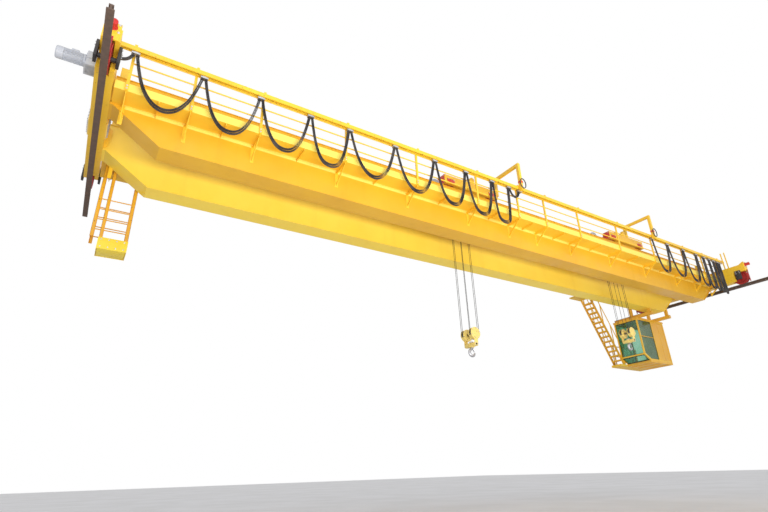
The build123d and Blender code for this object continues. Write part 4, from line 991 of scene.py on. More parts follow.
# Rope drums: grooved steel barrels between two flanges, with the spare turns of
# rope laid on from both ends, on a shaft between two pedestal bearings.
rope_steel = metal("rope_steel", srgb(98, 92, 86), srgb(66, 62, 58), 0.5, 300.0)
drum_steel = metal("drum_steel", srgb(150, 142, 132), srgb(116, 108, 98), 0.45)
drum_axis = 1.92
drum_radius = 0.1715
rope_radius = 0.008
groove_pitch = 0.0175
grooved = 1.03
spare_turns, spare_start = 17, 0.235
pedestal_near, pedestal_far = 0.79, 0.91
pad_top = beam_top + 0.035
rows_left = (-0.18, 0.15, 0.21)
rows_right = (-0.21, -0.15, 0.18)
drum_ahead = 0.25
for number, x in crab_rest.items():
    crab = f"crab_{number}"
    drum_x = x + drum_ahead
    bm = bmesh.new()
    grooves = []
    for k in range(int(grooved / groove_pitch)):
        y = k * groove_pitch - grooved / 2
        for share, deep in ((0, 0), (0.3, 0.004), (0.7, 0.004)):
            grooves.append((y + groove_pitch * share, drum_radius - deep))
    flange = [(0.52, drum_radius), (0.52, 0.212), (0.526, 0.2165), (0.534, 0.2165), (0.54, 0.212),
              (0.54, 0.045)]
    turned(bm, (drum_x, 0, drum_axis), (0, 1, 0), mirrored(flange, grooves), 56)
    shaft = [(0.535, 0.0), (0.535, 0.045), (0.895, 0.045), (0.90, 0.040)]
    turned(bm, (drum_x, 0, drum_axis), (0, 1, 0), [(-along, radius) for along, radius in shaft], 28)
    turned(bm, (drum_x, 0, drum_axis), (0, 1, 0), shaft + [(0.90, 0)], 28)
    barrel = finished(bm, f"{crab}_drum_barrel", drum_steel)
    bm = bmesh.new()
    for side in (-1, 1):
        wound = []
        for k in range(spare_turns):
            y = spare_start + k * groove_pitch
            for step in range(4):
                spin = step * math.pi / 3
                wound.append((side * (y - rope_radius * math.cos(spin)),
                              drum_radius + 0.003 + rope_radius * math.sin(spin)))
        wound = [(wound[0][0], drum_radius - 0.003)] + wound + [(wound[-1][0], drum_radius - 0.003)]
        turned(bm, (drum_x, 0, drum_axis), (0, 1, 0), wound, 56)
    winding = finished(bm, f"{crab}_rope_turns", rope_steel, 60.0)
    bm = bmesh.new()
    pedestal_bolts = []
    for side in (-1, 1):
        low, high = sorted((side * pedestal_near, side * pedestal_far))
        block(bm, (drum_x - 0.13, low, beam_top), (drum_x + 0.13, high, pad_top), 0.004)
        block(bm, (drum_x - 0.095, low + 0.012, beam_top + 0.03),
              (drum_x + 0.095, high - 0.012, drum_axis), 0.02)
        turned(bm, (drum_x, low + 0.006, drum_axis), (0, 1, 0),
               [(0, 0.05), (0, 0.085), (0.012, 0.105), (0.096, 0.105), (0.108, 0.085), (0.108, 0.05)], 32)
        for dx in (-0.11, 0.11):
            for dy in (0.025, 0.095):
                pedestal_bolts.append(((drum_x + dx, low + dy, pad_top), (0, 0, 1)))
    pedestals = finished(bm, f"{crab}_drum_pedestals", crab_enamel)
    for piece, finish in ((barrel, "yellow_paint"), (winding, "rope_steel"), (pedestals, "yellow_paint")):
        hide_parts(f"{crab}_drum")
        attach(piece, crab)
    bolts(f"{crab}_pedestal_bolts", pedestal_bolts, 0.024, 0.015, crab, zinc_bolts)


# Hoist drives: a cast gear case beside the drum and a ribbed motor across the
# crab on a welded stool, both silver grey.
gear_axis = beam_top + 0.26
stool_top = beam_top + 0.03
for number, x in crab_rest.items():
    crab = f"crab_{number}"
    bm = bmesh.new()
    left, ahead = x - 0.88, x + drum_ahead - drum_radius - 0.08
    ribbed_case(bm, (left, 0.51, beam_top), (ahead, 0.77, beam_top + 0.52), 4)
    for at, radius in ((left + 0.13, 0.075), (left + 0.40, 0.095), (ahead - 0.17, 0.12)):
        turned(bm, (at, 0.515, gear_axis), (0, -1, 0),
               [(-0.02, radius), (0.0, radius), (0.003, radius * 0.94), (0.003, 0)], 32)
    ribbed_motor(bm, (x - 0.78, 0.505, 1.87), (0, -1, 0), 0.19, 0.715, 32)
    block(bm, (x - 0.93, -0.13, beam_top), (x - 0.63, 0.40, stool_top), 0.004)
    for y in (-0.07, 0.12, 0.33):
        block(bm, (x - 0.90, y, beam_top + 0.02), (x - 0.66, y + 0.02, 1.76), 0.003)
    block(bm, (x - 0.86, 0.06, 2.02), (x - 0.70, 0.24, 2.13), 0.012)
    drive = finished(bm, f"{crab}_hoist_machinery", motor_grey)
    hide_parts(f"{crab}_hoist_drive")
    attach(drive, crab)
    foot_bolts = [
        ((x + dx, y, stool_top), (0, 0, 1)) for dx in (-0.905, -0.655) for y in (-0.10, 0.37)]
    bolts(f"{crab}_motor_bolts", foot_bolts, 0.026, 0.016, crab, zinc_bolts)


# Crab travel drives: a gear case in the middle of a cross beam with an upright
# motor, and a cross shaft to a small gear box at each wheel beam.
gear_ahead = 0.76
gear_half = 0.12
cross_shaft_z = beam_top + 0.11
cross_shaft = 0.03
wheel_gear_y = 0.76
for number, x in crab_rest.items():
    crab = f"crab_{number}"
    at = x + gear_ahead
    bm = bmesh.new()
    ribbed_case(bm, (at - gear_half, -gear_half, beam_top), (at + gear_half, gear_half, beam_top + 0.30), 2)
    ribbed_motor(bm, (at, 0, beam_top + 0.298), (0, 0, 1), 0.10, 0.342, 22)
    bar(bm, (at, -wheel_gear_y, cross_shaft_z), (at, wheel_gear_y, cross_shaft_z), cross_shaft, 20)
    for side in (-1, 1):
        for y in (0.16, 0.62):
            collar = mirrored([(0.03, 0.052), (0.03, cross_shaft)])
            turned(bm, (at, side * y, cross_shaft_z), (0, side, 0), collar, 24)
        y0, y1 = side * wheel_gear_y, side * (wheel_gear_y - 0.10)
        block(bm, (at - 0.07, y0, beam_top), (at + 0.07, y1, beam_top + 0.18), 0.014)
    drive = finished(bm, f"{crab}_travel_machinery", motor_grey)
    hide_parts(f"{crab}_travel_gear")
    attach(drive, crab)


# Tow arms: square tubes from each crab over the handrail down to the last cable
# carrier. The cable runs along the arm and down its leg, and the slack is coiled
# in a ring at the foot, where an orange clamp ties it.
def round_outline(radius, sides=8):
    """Outline of a round cable for a sweep."""
    spins = [k * math.tau / sides for k in range(sides)]
    return [(radius * math.cos(spin), radius * math.sin(spin)) for spin in spins]


arm_offsets = {1: 1.40, 2: 0.50}
clamp_orange = enamel("clamp_orange", srgb(226, 92, 40), srgb(198, 72, 34), gloss=0.4)
leg_y = track_line_y - 0.115
lead_aside = 0.058
lead_top = 2.28
coil_z = 1.53
coil_wide, coil_high = 0.125, 0.18
for number, x in crab_rest.items():
    crab = f"crab_{number}"
    repaint(f"{crab}_tow_arm", rail_enamel)
    ax = x + arm_offsets[number]
    bm = bmesh.new()
    hoop, down, along = [], [], []
    for k in range(29):
        spin = k * math.tau / 28
        hoop.append(Vector((ax + 0.045 + coil_wide * math.cos(spin), leg_y - 0.070,
                            coil_z + coil_high * math.sin(spin))))
    for k in range(25):
        share = k / 24
        beside = ax + lead_aside + 0.012 * math.sin(share * 9.0)
        down.append(Vector((beside, leg_y + 0.02 * math.sin(share * 5.0), lead_top - share * 0.78)))
        along.append(Vector((ax + lead_aside, -0.88 + share * (leg_y + 0.86),
                             lead_top + 0.02 + 0.012 * math.sin(share * 12.0))))
    swept(bm, hoop, Vector((0, 1, 0)), round_outline(0.018))
    swept(bm, down, Vector((0, 1, 0)), round_outline(0.010))
    swept(bm, along, Vector((0, 0, 1)), round_outline(0.010))
    lead = finished(bm, f"{crab}_tow_cable", cable_rubber)
    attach(lead, crab)
    bm = bmesh.new()
    block(bm, (ax - 0.056, leg_y - 0.056, coil_z + 0.03), (ax + 0.072, leg_y + 0.056, coil_z + 0.11), 0.006)
    ties = finished(bm, f"{crab}_tow_clamps", clamp_orange)
    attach(ties, crab)


# Rope falls: six parts of stranded wire rope, dark with grease, run straight from
# the drum down to the sheaves.
greased_rope = rubber("greased_rope", srgb(40, 34, 30), srgb(66, 56, 48))
lay_length = 0.16
rope_steps = 200
rope_section = []
for k in range(18):
    spin = k * math.tau / 18
    radius = rope_radius * (0.86 + 0.14 * abs(math.cos(spin * 3)))
    rope_section.append((radius * math.cos(spin), radius * math.sin(spin)))
block_level = {1: -3.30, 2: -2.25}
for number, x in crab_rest.items():
    drum_x = x + drum_ahead
    bm = bmesh.new()
    for side, rows in ((-1, rows_left), (1, rows_right)):
        for y in rows:
            top = Vector((drum_x + side * (drum_radius + rope_radius + hair), y, drum_axis))
            length = block_level[number] - drum_axis
            fall = [top + Vector((0, 0, length * k / rope_steps)) for k in range(rope_steps + 1)]
            swept(bm, fall, Vector((1, 0, 0)), rope_section, True, math.tau / lay_length)
    falls = finished(bm, f"hoist_{number}_rope_falls", greased_rope, 80.0)
    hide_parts(f"hoist_{number}_ropes")
    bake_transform(falls)


# Hook blocks: two grooved sheaves on a pin between pale yellow guard plates, with
# cheeks that reach down to the forged crosshead in which the hook turns.
block_enamel = enamel("block_enamel", srgb(252, 226, 130), srgb(238, 204, 100), chip=1.0, gloss=0.42)
sheave_steel = metal("sheave_steel", srgb(128, 122, 116), srgb(96, 90, 84), 0.42)
guard_radius = 0.19
sheave_half = [
    (0.016, 0.1714), (0.026, 0.1714), (0.026, 0.166), (0.018, 0.142), (0.018, 0.10), (0.034, 0.085),
    (0.034, 0.05)]
cross_drop = 0.34
sheave_y = 0.18
guard_aside = 0.055
guard_thick = 0.0138
bolt_circle = 0.155
cheek_y = 0.237
cheek_half = 0.007
hood_half = 0.054
hood_steps = 14
cheek = [
    (-0.055, -0.39), (0.055, -0.39), (0.070, -0.36), (0.070, -0.02), (0.052, 0.042), (0.0, 0.06),
    (-0.052, 0.042), (-0.070, -0.02), (-0.070, -0.36)]
for number, x in crab_rest.items():
    body = f"hook_block_{number}"
    drum_x = x + drum_ahead
    z = block_level[number]
    bm = bmesh.new()
    steel = bmesh.new()
    block_bolts = []
    for side in (-1, 1):
        y = side * sheave_y
        turned(steel, (drum_x, y, z), (0, 1, 0), mirrored(sheave_half, [(0, 0.158)]), 48)
        for edge in (-1, 1):
            face = y + edge * guard_aside
            turned(bm, (drum_x, face, z), (0, edge, 0), [
                (0, 0.045), (0, guard_radius - 0.004), (0.003, guard_radius), (0.011, guard_radius),
                (guard_thick, guard_radius - 0.004), (guard_thick, 0.085), (0.018, 0.078),
                (0.018, 0.045)], 48)
            for k in range(6):
                spin = k * math.tau / 6 + 0.3
                head = (drum_x + bolt_circle * math.cos(spin), face + edge * guard_thick,
                        z + bolt_circle * math.sin(spin))
                block_bolts.append((head, (0, edge, 0)))
        arc = [math.pi * (1.12 + 0.76 * k / hood_steps) for k in range(hood_steps + 1)]
        hood = [[], []]
        for k, edge in enumerate((-1, 1)):
            for radius in (0.184, 0.1895):
                hood[k].append([bm.verts.new((drum_x + radius * math.cos(t), y + edge * hood_half,
                                              z + radius * math.sin(t))) for t in arc])
        for k in range(hood_steps):
            loop = (hood[0][0], hood[1][0], hood[1][1], hood[0][1])
            for a, b in zip(loop, loop[1:] + loop[:1]):
                bm.faces.new((a[k], a[k + 1], b[k + 1], b[k]))
        for k in (0, hood_steps):
            bm.faces.new((hood[0][0][k], hood[1][0][k], hood[1][1][k], hood[0][1][k]))
        flat_plate(bm, cheek, (drum_x, side * cheek_y, z), cheek_half)
        for down, radius, sides in ((0, 0.04, 32), (cross_drop, 0.035, 28)):
            pin = [(0, radius), (0.042, radius), (0.044, radius - 0.002), (0.044, 0)]
            turned(steel, (drum_x, side * 0.2, z - down), (0, side, 0), pin, sides)
        for dz in (-0.365, -0.315):
            for dx in (-0.048, 0.048):
                block_bolts.append(((drum_x + dx, side * (cheek_y + cheek_half), z + dz), (0, side, 0)))
    bar(steel, (drum_x, -0.2, z), (drum_x, 0.2, z), 0.04, 32)
    cross = z - cross_drop
    block(bm, (drum_x - 0.085, -0.2295, cross - 0.05), (drum_x + 0.085, 0.2295, cross + 0.05), 0.02)
    turned(bm, (drum_x, 0, cross), (0, 0, 1),
           mirrored([(0.05, 0.0895), (0.0645, 0.085), (0.0645, 0.0358)]), 36)
    casing = finished(bm, f"{body}_casing", block_enamel)
    sheaves = finished(steel, f"{body}_sheaves", sheave_steel)
    for piece, finish in ((casing, "yellow_paint"), (sheaves, "rope_steel")):
        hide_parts(body)
        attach(piece, body)
    bolts(f"{body}_bolts", block_bolts, 0.016, 0.009, body, zinc_bolts)


# Hooks: forged from one bar, thick through the bowl and drawn thin to the point,
# turned at the shank and hung on a nut over a thrust bearing. Bare bright steel
# with dull patches of scale, and a sprung latch of bent sheet across the mouth.
hook_forging = metal("hook_forging", srgb(206, 206, 210), srgb(168, 166, 168), 0.34, 90.0, 0.4)
bowl_radius = 0.105
bowl_drop = 0.57
shank = 0.0345
nut_steps = [
    (0, 0.034), (0, 0.0745), (0.006, 0.075), (0.016, 0.075), (0.018, 0.066), (0.036, 0.066), (0.0397, 0.062),
    (0.0397, 0.0)]
latch_section = [
    (0.024, -0.003), (0.027, 0.003), (0.021, 0.004), (0.0, 0.001), (-0.021, 0.004), (-0.027, 0.003),
    (-0.024, -0.003), (0.0, -0.005)]
for number, x in crab_rest.items():
    body = f"hook_{number}"
    drum_x = x + drum_ahead
    middle = Vector((drum_x, 0, block_level[number] - bowl_drop))
    bm = bmesh.new()
    top = block_level[number] - cross_drop + 0.065
    turned(bm, (drum_x, 0, top + hair), (0, 0, 1), nut_steps, 36)
    rings = []
    spine = [
        (Vector((drum_x, 0, top + 0.01)), shank, shank), (middle + Vector((0, 0, 0.185)), shank, shank),
        (middle + Vector((0, 0, 0.155)), 0.035, 0.036)]
    for k in range(27):
        share = k / 26
        angle = math.pi * (0.56 + 1.40 * share)
        thick = 0.045 if share < 0.55 else 0.045 - 0.019 * ((share - 0.55) / 0.45) ** 1.3
        start = min(share / 0.12, 1.0)
        thick = thick * start + 0.037 * (1 - start)
        reach = bowl_radius + 0.004 * max(share - 0.75, 0)
        spine.append((middle + Vector((math.cos(angle) * reach, 0, math.sin(angle) * reach)),
                      thick * 0.86, thick))
    sides = 20
    for k, (point, wide, deep) in enumerate(spine):
        ahead = (spine[min(k + 1, len(spine) - 1)][0] - spine[max(k - 1, 0)][0]).normalized()
        out = ahead.cross(Vector((0, 1, 0)))
        rings.append([
            bm.verts.new(point + Vector((0, 1, 0)) * wide * math.cos(t * math.tau / sides)
                         + out * deep * math.sin(t * math.tau / sides)) for t in range(sides)])
    for first, second in zip(rings, rings[1:]):
        wall(bm, first, second)
    bm.faces.new(rings[0][::-1])
    last, point = rings[-1], spine[-1][0]
    ahead = (point - spine[-2][0]).normalized()
    for scale, forward_by in ((0.8, 0.010), (0.4, 0.016)):
        ring = [bm.verts.new(point + (vertex.co - point) * scale + ahead * forward_by)
                for vertex in rings[-1]]
        wall(bm, last, ring)
        last = ring
    bm.faces.new(last)
    forging = finished(bm, f"{body}_forging", hook_forging, 50.0)
    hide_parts(body)
    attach(forging, body)
    bm = bmesh.new()
    root = middle + Vector((0.022, 0, 0.125))
    tip = middle + Vector((0.084, 0, 0.022))
    for y in (-0.036, 0.036):
        block(bm, root + Vector((-0.012, y - 0.002, -0.016)),
              root + Vector((0.020, y + 0.002, 0.014)), 0.0015)
    bar(bm, root + Vector((0.004, -0.042, 0)), root + Vector((0.004, 0.042, 0)), 0.005, 12)
    tongue = []
    for k in range(9):
        bulge = math.sin(math.pi * k / 8)
        tongue.append(root + (tip - root) * (k / 8) + Vector((0.010 * bulge, 0, 0.004 * bulge)))
    swept(bm, tongue, Vector((0, 1, 0)), latch_section)
    latch = finished(bm, f"{body}_latch", zinc_plate)
    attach(latch, body)


# Operator's cab: welded frame of square tube with sheet panels, a thick roof and
# a floor tray, hung under the far girder. The panes sit in black rubber profile.
panel_enamel = enamel("panel_enamel", srgb(244, 190, 62), srgb(226, 168, 52), gloss=0.38)
for node in ("cab_panels", "cab_roof", "cab_floor", "cab_hangers", "stair_stringers"):
    repaint(node, panel_enamel)
repaint("cab_frame", rail_enamel)
tinted_glass, tree, shader, place = fresh_material("tinted_glass")
green_tint = mottled(tree, place, 1.4, 3.0, 0.4, 0.65, srgb(122, 184, 150), srgb(150, 202, 176))
tree.links.new(green_tint, shader.inputs["Base Color"])
shader.inputs["Transmission Weight"].default_value = 0.88
shader.inputs["IOR"].default_value = 1.45
tree.links.new(spread(tree, noise(tree, place, 5.0, 5.0), 0.35, 0.75, 0.02, 0.16), shader.inputs["Roughness"])
rough_skin(tree, shader, noise(tree, place, 3.0, 2.0), 0.002, 0.2)
repaint("cab_glass", tinted_glass)

cab_front, cab_back = 22.75, 24.90
cab_near, cab_far = 1.29, 2.49
cab_eaves, cab_sill, cab_floor_top = -0.83, -2.54, -2.77
cab_split, cab_mullion = 23.84, -1.68
tube = 0.06
pane_middle = 0.030
black_rubber = rubber("black_rubber", srgb(30, 30, 32), srgb(58, 58, 60))


def gasket(bm, corners, normal, depth=0.020, width=0.016):
    """Rubber profile round one pane, a straight run along each edge."""
    normal = Vector(normal).normalized()
    middle = sum((Vector(c) for c in corners), Vector()) / len(corners)
    for a, b in zip(corners, corners[1:] + corners[:1]):
        a, b = Vector(a), Vector(b)
        along = (b - a).normalized()
        inward = normal.cross(along)
        if inward.dot(middle - a) < 0:
            inward = -inward
        a, b = a + inward * width * 0.55, b + inward * width * 0.55
        half, deep = width / 2, depth / 2
        side = [(deep, -half), (deep, half * 0.4), (deep * 0.6, half)]
        swept(bm, [a, b], normal, side + [(-across, out) for across, out in side[::-1]])


bm = bmesh.new()
front_x = cab_front + pane_middle
gasket(bm, [(front_x, cab_near + tube, cab_sill + tube), (front_x, cab_far - tube, cab_sill + tube),
            (front_x, cab_far - tube, cab_eaves - tube), (front_x, cab_near + tube, cab_eaves - tube)],
       (1, 0, 0))
for y in (cab_near + pane_middle, cab_far - pane_middle):
    gasket(bm, [(cab_front + tube, y, cab_mullion + 0.03), (cab_split, y, cab_mullion + 0.03),
                (cab_split, y, cab_eaves - tube), (cab_front + tube, y, cab_eaves - tube)], (0, 1, 0))
    gasket(bm, [(cab_front + tube, y, cab_mullion), (cab_front + tube, y, cab_sill + 0.065),
                (cab_front + 0.44, y, cab_floor_top + 0.065),
                (cab_split, y, cab_floor_top + 0.065), (cab_split, y, cab_mullion)], (0, 1, 0))
toe_normal = Vector((-(cab_sill - cab_floor_top), 0, -0.38)).normalized()
gasket(bm, [(cab_front + 0.02, cab_near + tube, cab_sill - 0.014),
            (cab_front + 0.02, cab_far - tube, cab_sill - 0.014),
            (cab_front + 0.372, cab_far - tube, cab_floor_top + 0.004),
            (cab_front + 0.372, cab_near + tube, cab_floor_top + 0.004)], toe_normal, 0.024)
gaskets = finished(bm, "cab_pane_gaskets", black_rubber)
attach(gaskets, "bridge")

bm = bmesh.new()
seam_y = cab_near + 0.015
panel_left, panel_seam, panel_right = 23.902, 24.40, 24.838
trim_low, trim_high = cab_floor_top + tube + 0.002, cab_eaves - tube - 0.002
block(bm, (panel_seam, seam_y - 0.006, trim_low), (panel_seam + 0.04, seam_y, trim_high), 0.002)
for z in (trim_low, trim_high - 0.03):
    block(bm, (panel_left, seam_y - 0.006, z), (panel_right, seam_y, z + 0.03), 0.002)
for x in (panel_left, panel_right - 0.03):
    block(bm, (x, seam_y - 0.006, trim_low + 0.032), (x + 0.03, seam_y, trim_high - 0.032), 0.002)
drip_edge = 0.018
roof_low, roof_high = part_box("cab_roof")
for y in (roof_low.y, roof_high.y - 0.004):
    block(bm, (roof_low.x, y, roof_low.z - drip_edge), (roof_high.x, y + 0.004, roof_low.z), 0.001)
for x in (roof_low.x, roof_high.x - 0.004):
    block(bm, (x, roof_low.y + 0.005, roof_low.z - drip_edge),
          (x + 0.004, roof_high.y - 0.005, roof_low.z), 0.001)
floor_low, floor_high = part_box("cab_floor")
for x in (floor_low.x + 0.25, floor_low.x + 0.85, floor_low.x + 1.45):
    block(bm, (x, floor_low.y + 0.04, floor_low.z - 0.028),
          (x + 0.05, floor_high.y - 0.04, floor_low.z), 0.004)
trim = finished(bm, "cab_sheet_trim", panel_enamel)
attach(trim, "bridge")
cab_screws = []
for k in range(11):
    z = cab_floor_top + tube + 0.10 + k * 0.165
    for x in (panel_left + 0.015, panel_seam + 0.02, panel_right - 0.015):
        cab_screws.append(((x, seam_y - 0.006, z), (0, -1, 0)))
for k in range(9):
    y = cab_near + 0.10 + k * 0.125
    for z in (cab_floor_top + 0.09, cab_eaves - 0.09):
        cab_screws.append(((cab_back - 0.015, y, z), (1, 0, 0)))
bolts("cab_screws", cab_screws, 0.012, 0.005, "bridge", zinc_bolts)


# Hanger joints: end plates and bolted pads where the two beams over the roof meet
# their hangers, the girder and the deck.
hanger_low, hanger_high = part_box("cab_hangers")
bm = bmesh.new()
hanger_bolts = []
for along in (0.215, 1.68):
    x0 = cab_front + along
    x1 = x0 + 0.15
    for y in (hanger_low.y - 0.010, hanger_high.y):
        block(bm, (x0 - 0.012, y, roof_high.z + 0.002), (x1 + 0.012, y + 0.010, roof_high.z + 0.150), 0.003)
    for y in (cab_near + 0.08, cab_far - 0.20):
        block(bm, (x0 - 0.05, y, roof_high.z), (x1 + 0.05, y + 0.12, roof_high.z + 0.012), 0.002)
        for dx in (-0.03, 0.18):
            hanger_bolts.append(((x0 + dx, y + 0.06, roof_high.z + 0.012), (0, 0, 1)))
    middle = (x0 + x1) / 2
    block(bm, (middle - 0.09, 1.57, deck_under - 0.012), (middle + 0.09, 1.75, deck_under - 0.0002), 0.002)
    for dx in (-0.075, 0.075):
        for y in (1.59, 1.73):
            hanger_bolts.append(((middle + dx, y, deck_under - 0.012), (0, 0, -1)))
pads = finished(bm, "cab_hanger_pads", panel_enamel)
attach(pads, "bridge")
bolts("cab_hanger_bolts", hanger_bolts, 0.024, 0.014, "bridge", zinc_bolts)


# Stair to the cab: chequered treads between two flat stringers, bolted through
# their ends, with stiff lips folded down along both edges of each tread.
tread_low, tread_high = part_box("stair_treads")
stair_top, stair_bottom = deck_under + 0.009, cab_floor_top
stair_steps = 13
stair_slope = 1.96
stair_left = 21.20
stringer_reach = 0.17 * math.sqrt(1 + stair_slope ** 2) / stair_slope
bm = bmesh.new()
tread_bolts = []
rise = (stair_top - stair_bottom) / (stair_steps + 1)
for number in range(1, stair_steps + 1):
    z = stair_top - number * rise
    x = stair_left + number * rise / stair_slope + stringer_reach / 2
    for edge in (-1, 1):
        lip = x + edge * 0.085
        block(bm, (lip, tread_low.y + 0.001, z - 0.055),
              (lip - edge * 0.004, tread_high.y - 0.001, z - 0.0245), 0.001)
        for y, way in ((tread_low.y - 0.012, -1), (tread_high.y + 0.012, 1)):
            tread_bolts.append(((x + edge * 0.045, y, z - 0.012), (0, way, 0)))
lips = finished(bm, "stair_tread_lips", panel_enamel)
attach(lips, "bridge")
bolts("stair_tread_bolts", tread_bolts, 0.016, 0.009, "bridge", zinc_bolts)


# Inspection cage: a basket of steel angle and round rungs hung from the far deck
# over the left runway, with bright yellow toe plates round its floor.
cage_enamel = enamel("cage_enamel", srgb(236, 176, 46), srgb(214, 152, 40), chip=1.0)
toe_enamel = enamel("toe_enamel", srgb(252, 226, 66), srgb(240, 206, 56), chip=0.5)
cage_low, cage_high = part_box("inspection_cage")
cage_first, cage_second, cage_last = 0.31, 0.51, 1.10
first_leg_short = 0.30
cage_leg = 0.075
cage_wall = 0.008
rung = 0.014
toe_height = 0.30
toe_thick = 0.012
toe_end_thick = 0.011
bm = bmesh.new()
cage_bolts = []
for x, way in ((cage_first, 1), (cage_second, 1), (cage_last + 0.045, -1)):
    foot = cage_low.z + (first_leg_short if x == cage_first else 0.0)
    for y, inward in ((cage_low.y, 1), (cage_high.y, -1)):
        for wide, deep in ((cage_leg, cage_wall), (cage_wall, cage_leg)):
            block(bm, (x, y, foot), (x + way * wide, y + inward * deep, deck_under - hair), 0.002)
        block(bm, (x - way * 0.02, y, deck_under - 0.010),
              (x + way * 0.10, y + inward * 0.10, deck_under - 0.0002), 0.002)
        cage_bolts.append(((x + way * 0.05, y + inward * 0.05, deck_under - 0.010), (0, 0, -1)))
girder_sole = -0.47
for drop in (0.25, 0.53, 0.81, 1.09):
    z = girder_sole - drop - rung
    for y in (cage_low.y + 0.016, cage_high.y - 0.016):
        bar(bm, (cage_first + 0.004, y, z), (cage_last + 0.041, y, z), rung, 14)
    for x in (cage_first + 0.016, cage_last + 0.029):
        bar(bm, (x, cage_low.y + 0.006, z), (x, cage_high.y - 0.006, z), rung, 14)
basket = finished(bm, "inspection_cage_bars", cage_enamel)
bm = bmesh.new()
x0, x1 = cage_second - 0.0115, cage_high.x + 0.0115
block(bm, (cage_second + 0.009, cage_low.y + 0.009, cage_low.z + 0.003),
      (cage_high.x - 0.009, cage_high.y - 0.009, cage_low.z + 0.040), 0.003)
for y in (cage_low.y - 0.0125, cage_high.y + 0.0005):
    block(bm, (x0, y, cage_low.z - 0.002), (x1, y + toe_thick, cage_low.z + toe_height), 0.002)
for x in (x0, x1 - toe_end_thick):
    block(bm, (x, cage_low.y, cage_low.z - 0.001),
          (x + toe_end_thick, cage_high.y, cage_low.z + toe_height), 0.002)
toe_plates = finished(bm, "inspection_cage_toe_plates", toe_enamel)
for piece in (basket, toe_plates):
    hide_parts("inspection_cage")
    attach(piece, "bridge")
for k in range(4):
    x = cage_second + 0.06 + k * 0.17
    for z in (0.06, 0.25):
        cage_bolts.append(((x, cage_low.y - 0.0125, cage_low.z + z), (0, -1, 0)))
        cage_bolts.append(((x, cage_high.y + 0.0125, cage_low.z + z), (0, 1, 0)))
bolts("inspection_cage_bolts", cage_bolts, 0.018, 0.010, "bridge", zinc_bolts)


# Switch cabinets: folded sheet housings on plinths along the far handrail, powder
# coated light grey, with pairs of doors on hinges, swing handles and louvres.
def slat_tree(material):
    """Node tree that sets a pressed louvre on each marked point of a door."""
    tree, given, result = repeat_tree("door_louvres")
    size = tree.nodes.new("ShaderNodeCombineXYZ")
    slat = tree.nodes.new("GeometryNodeMeshCube")
    tilt = tree.nodes.new("GeometryNodeTransform")
    tilt.inputs["Rotation"].default_value = (math.radians(35), 0, 0)
    for label, axis in (("Width", "X"), ("Height", "Y"), ("Height", "Z")):
        tree.links.new(given.outputs[label], size.inputs[axis])
    tree.links.new(size.outputs[0], slat.inputs["Size"])
    tree.links.new(slat.outputs["Mesh"], tilt.inputs["Geometry"])
    set_out(tree, given, result, tilt.outputs[0], material)
    return tree


cabinet_grey = enamel("cabinet_grey", srgb(206, 210, 212), srgb(188, 192, 196), gloss=0.46)
louvres = slat_tree(cabinet_grey)
cabinet_low, cabinet_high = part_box("electrical_cabinets")
foot = 0.06
# Left side and width of each cabinet.
cabinet_places = ((15.85, 1.10), (17.31, 1.30), (18.81, 1.10))
eye_bolt = [(0, 0.016), (0.006, 0.016), (0.008, 0.008), (0.024, 0.008), (0.03, 0.004), (0.03, 0)]
bm = bmesh.new()
fittings = bmesh.new()
slats = []
for start, long in cabinet_places:
    x0, x1 = start, start + long
    y0, y1 = cabinet_low.y, cabinet_high.y
    z0, z1 = cabinet_low.z + foot, cabinet_high.z
    block(bm, (x0 + 0.03, y0 + 0.03, cabinet_low.z), (x1 - 0.03, y1 - 0.02, z0 + 0.002), 0.003)
    block(bm, (x0 + 0.004, y0 + 0.018, z0), (x1 - 0.004, y1, z1 - 0.03), 0.006)
    block(bm, (x0, y0, z1 - 0.035), (x1, y1, z1), 0.008)
    half = (x1 - x0) / 2
    for door, hinge in ((x0, x0 + 0.014), (x0 + half, x1 - 0.014)):
        block(bm, (door + 0.012, y0 + 0.002, z0 + 0.03), (door + half - 0.006, y0 + 0.022, z1 - 0.05), 0.005)
        handle_x = x0 + half + (-0.05 if door == x0 else 0.05)
        block(fittings, (handle_x - 0.014, y0 - 0.0005, z0 + 0.66),
              (handle_x + 0.014, y0 + 0.004, z0 + 0.84), 0.003)
        block(fittings, (handle_x - 0.008, y0 - 0.016, z0 + 0.70),
              (handle_x + 0.008, y0 - 0.001, z0 + 0.83), 0.004)
        for z in (z0 + 0.16, z0 + 0.72, z1 - 0.22):
            bar(fittings, (hinge, y0 + 0.002, z), (hinge, y0 + 0.002, z + 0.06), 0.008, 12)
        for row in range(9):
            slats.append(((door + half / 2, y0 + 0.002, z0 + 0.14 + row * 0.022), (0, -1, 0)))
    for lift_x in (x0 + 0.08, x1 - 0.08):
        turned(fittings, (lift_x, (y0 + y1) / 2, z1), (0, 0, 1), eye_bolt, 16)
cases = finished(bm, "cabinet_cases", cabinet_grey)
hardware = finished(fittings, "cabinet_hardware", zinc_plate)
for piece, finish in ((cases, "cabinet_paint"), (hardware, "carrier_steel")):
    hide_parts("electrical_cabinets")
    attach(piece, "bridge")
vents = bolts("cabinet_louvres", slats, 0.26, 0.010, "bridge", louvres)


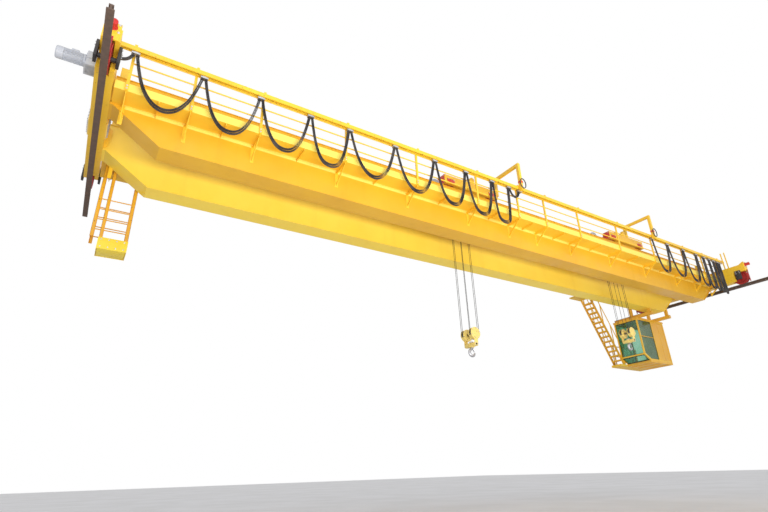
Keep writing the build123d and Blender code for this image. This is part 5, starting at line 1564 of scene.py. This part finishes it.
# Ground and light: a pale floor eight metres and more under the bridge, a weak sun
# from the photographer's side, an even sky all round, and a wide lamp just over
# the floor that stands in for the light that the hall floor throws up.
floor_level = -8.67
floor_mesh = bpy.data.meshes.new("hall_floor")
reach = 120.0
floor_mesh.from_pydata(
    [(-reach, -reach, floor_level), (reach, -reach, floor_level), (reach, reach, floor_level),
     (-reach, reach, floor_level)],
    [], [(0, 1, 2, 3)])
floor = bpy.data.objects.new("hall_floor", floor_mesh)
bpy.context.collection.objects.link(floor)
floor_paint, tree, shader, place = fresh_material("hall_floor")
shader.inputs["Roughness"].default_value = 0.8
concrete = mottled(tree, place, 0.4, 5.0, 0.35, 0.65, srgb(228, 228, 226), srgb(236, 236, 235))
tree.links.new(concrete, shader.inputs["Base Color"])
floor_mesh.materials.append(floor_paint)

bpy.context.scene.view_settings.view_transform = "Standard"
world = bpy.data.worlds.new("sky")
bpy.context.scene.world = world
world.use_nodes = True
sky = world.node_tree
backdrop = sky.nodes["Background"]
backdrop.inputs["Color"].default_value = (1.0, 1.0, 1.0, 1.0)
backdrop.inputs["Strength"].default_value = 1.0
soft_light = sky.nodes.new("ShaderNodeBackground")
soft_light.inputs["Color"].default_value = srgb(250, 250, 255)
soft_light.inputs["Strength"].default_value = 0.6
rays = sky.nodes.new("ShaderNodeLightPath")
seen = maths(sky, "MAXIMUM", rays.outputs["Is Camera Ray"], rays.outputs["Is Glossy Ray"])
either = sky.nodes.new("ShaderNodeMixShader")
sky.links.new(maths(sky, "MAXIMUM", seen, rays.outputs["Is Transmission Ray"]), either.inputs[0])
sky.links.new(soft_light.outputs[0], either.inputs[1])
sky.links.new(backdrop.outputs[0], either.inputs[2])
sky.links.new(either.outputs[0], sky.nodes["World Output"].inputs["Surface"])


def aimed(place, back):
    """Pose of a lamp that shines from a place, with its back the given way."""
    return Matrix.Translation(place) @ Vector(back).to_track_quat("Z", "Y").to_matrix().to_4x4()


key = bpy.data.objects.new("key_light", bpy.data.lights.new("key_light", "SUN"))
key.data.energy = 0.5
key.data.angle = math.radians(50)
key.matrix_world = aimed((0, -20, 20), (-0.28, -0.80, 0.52))
bpy.context.collection.objects.link(key)

bounce = bpy.data.objects.new("floor_bounce", bpy.data.lights.new("floor_bounce", "AREA"))
bounce.data.energy = 6900
bounce.data.shape = "RECTANGLE"
bounce.data.size = 22.0
bounce.data.size_y = 6.0
bounce.matrix_world = aimed((7.0, -16.5, -8.4), (0.0, 0.0, -1.0))
bounce.visible_camera = False
bpy.context.collection.objects.link(bounce)
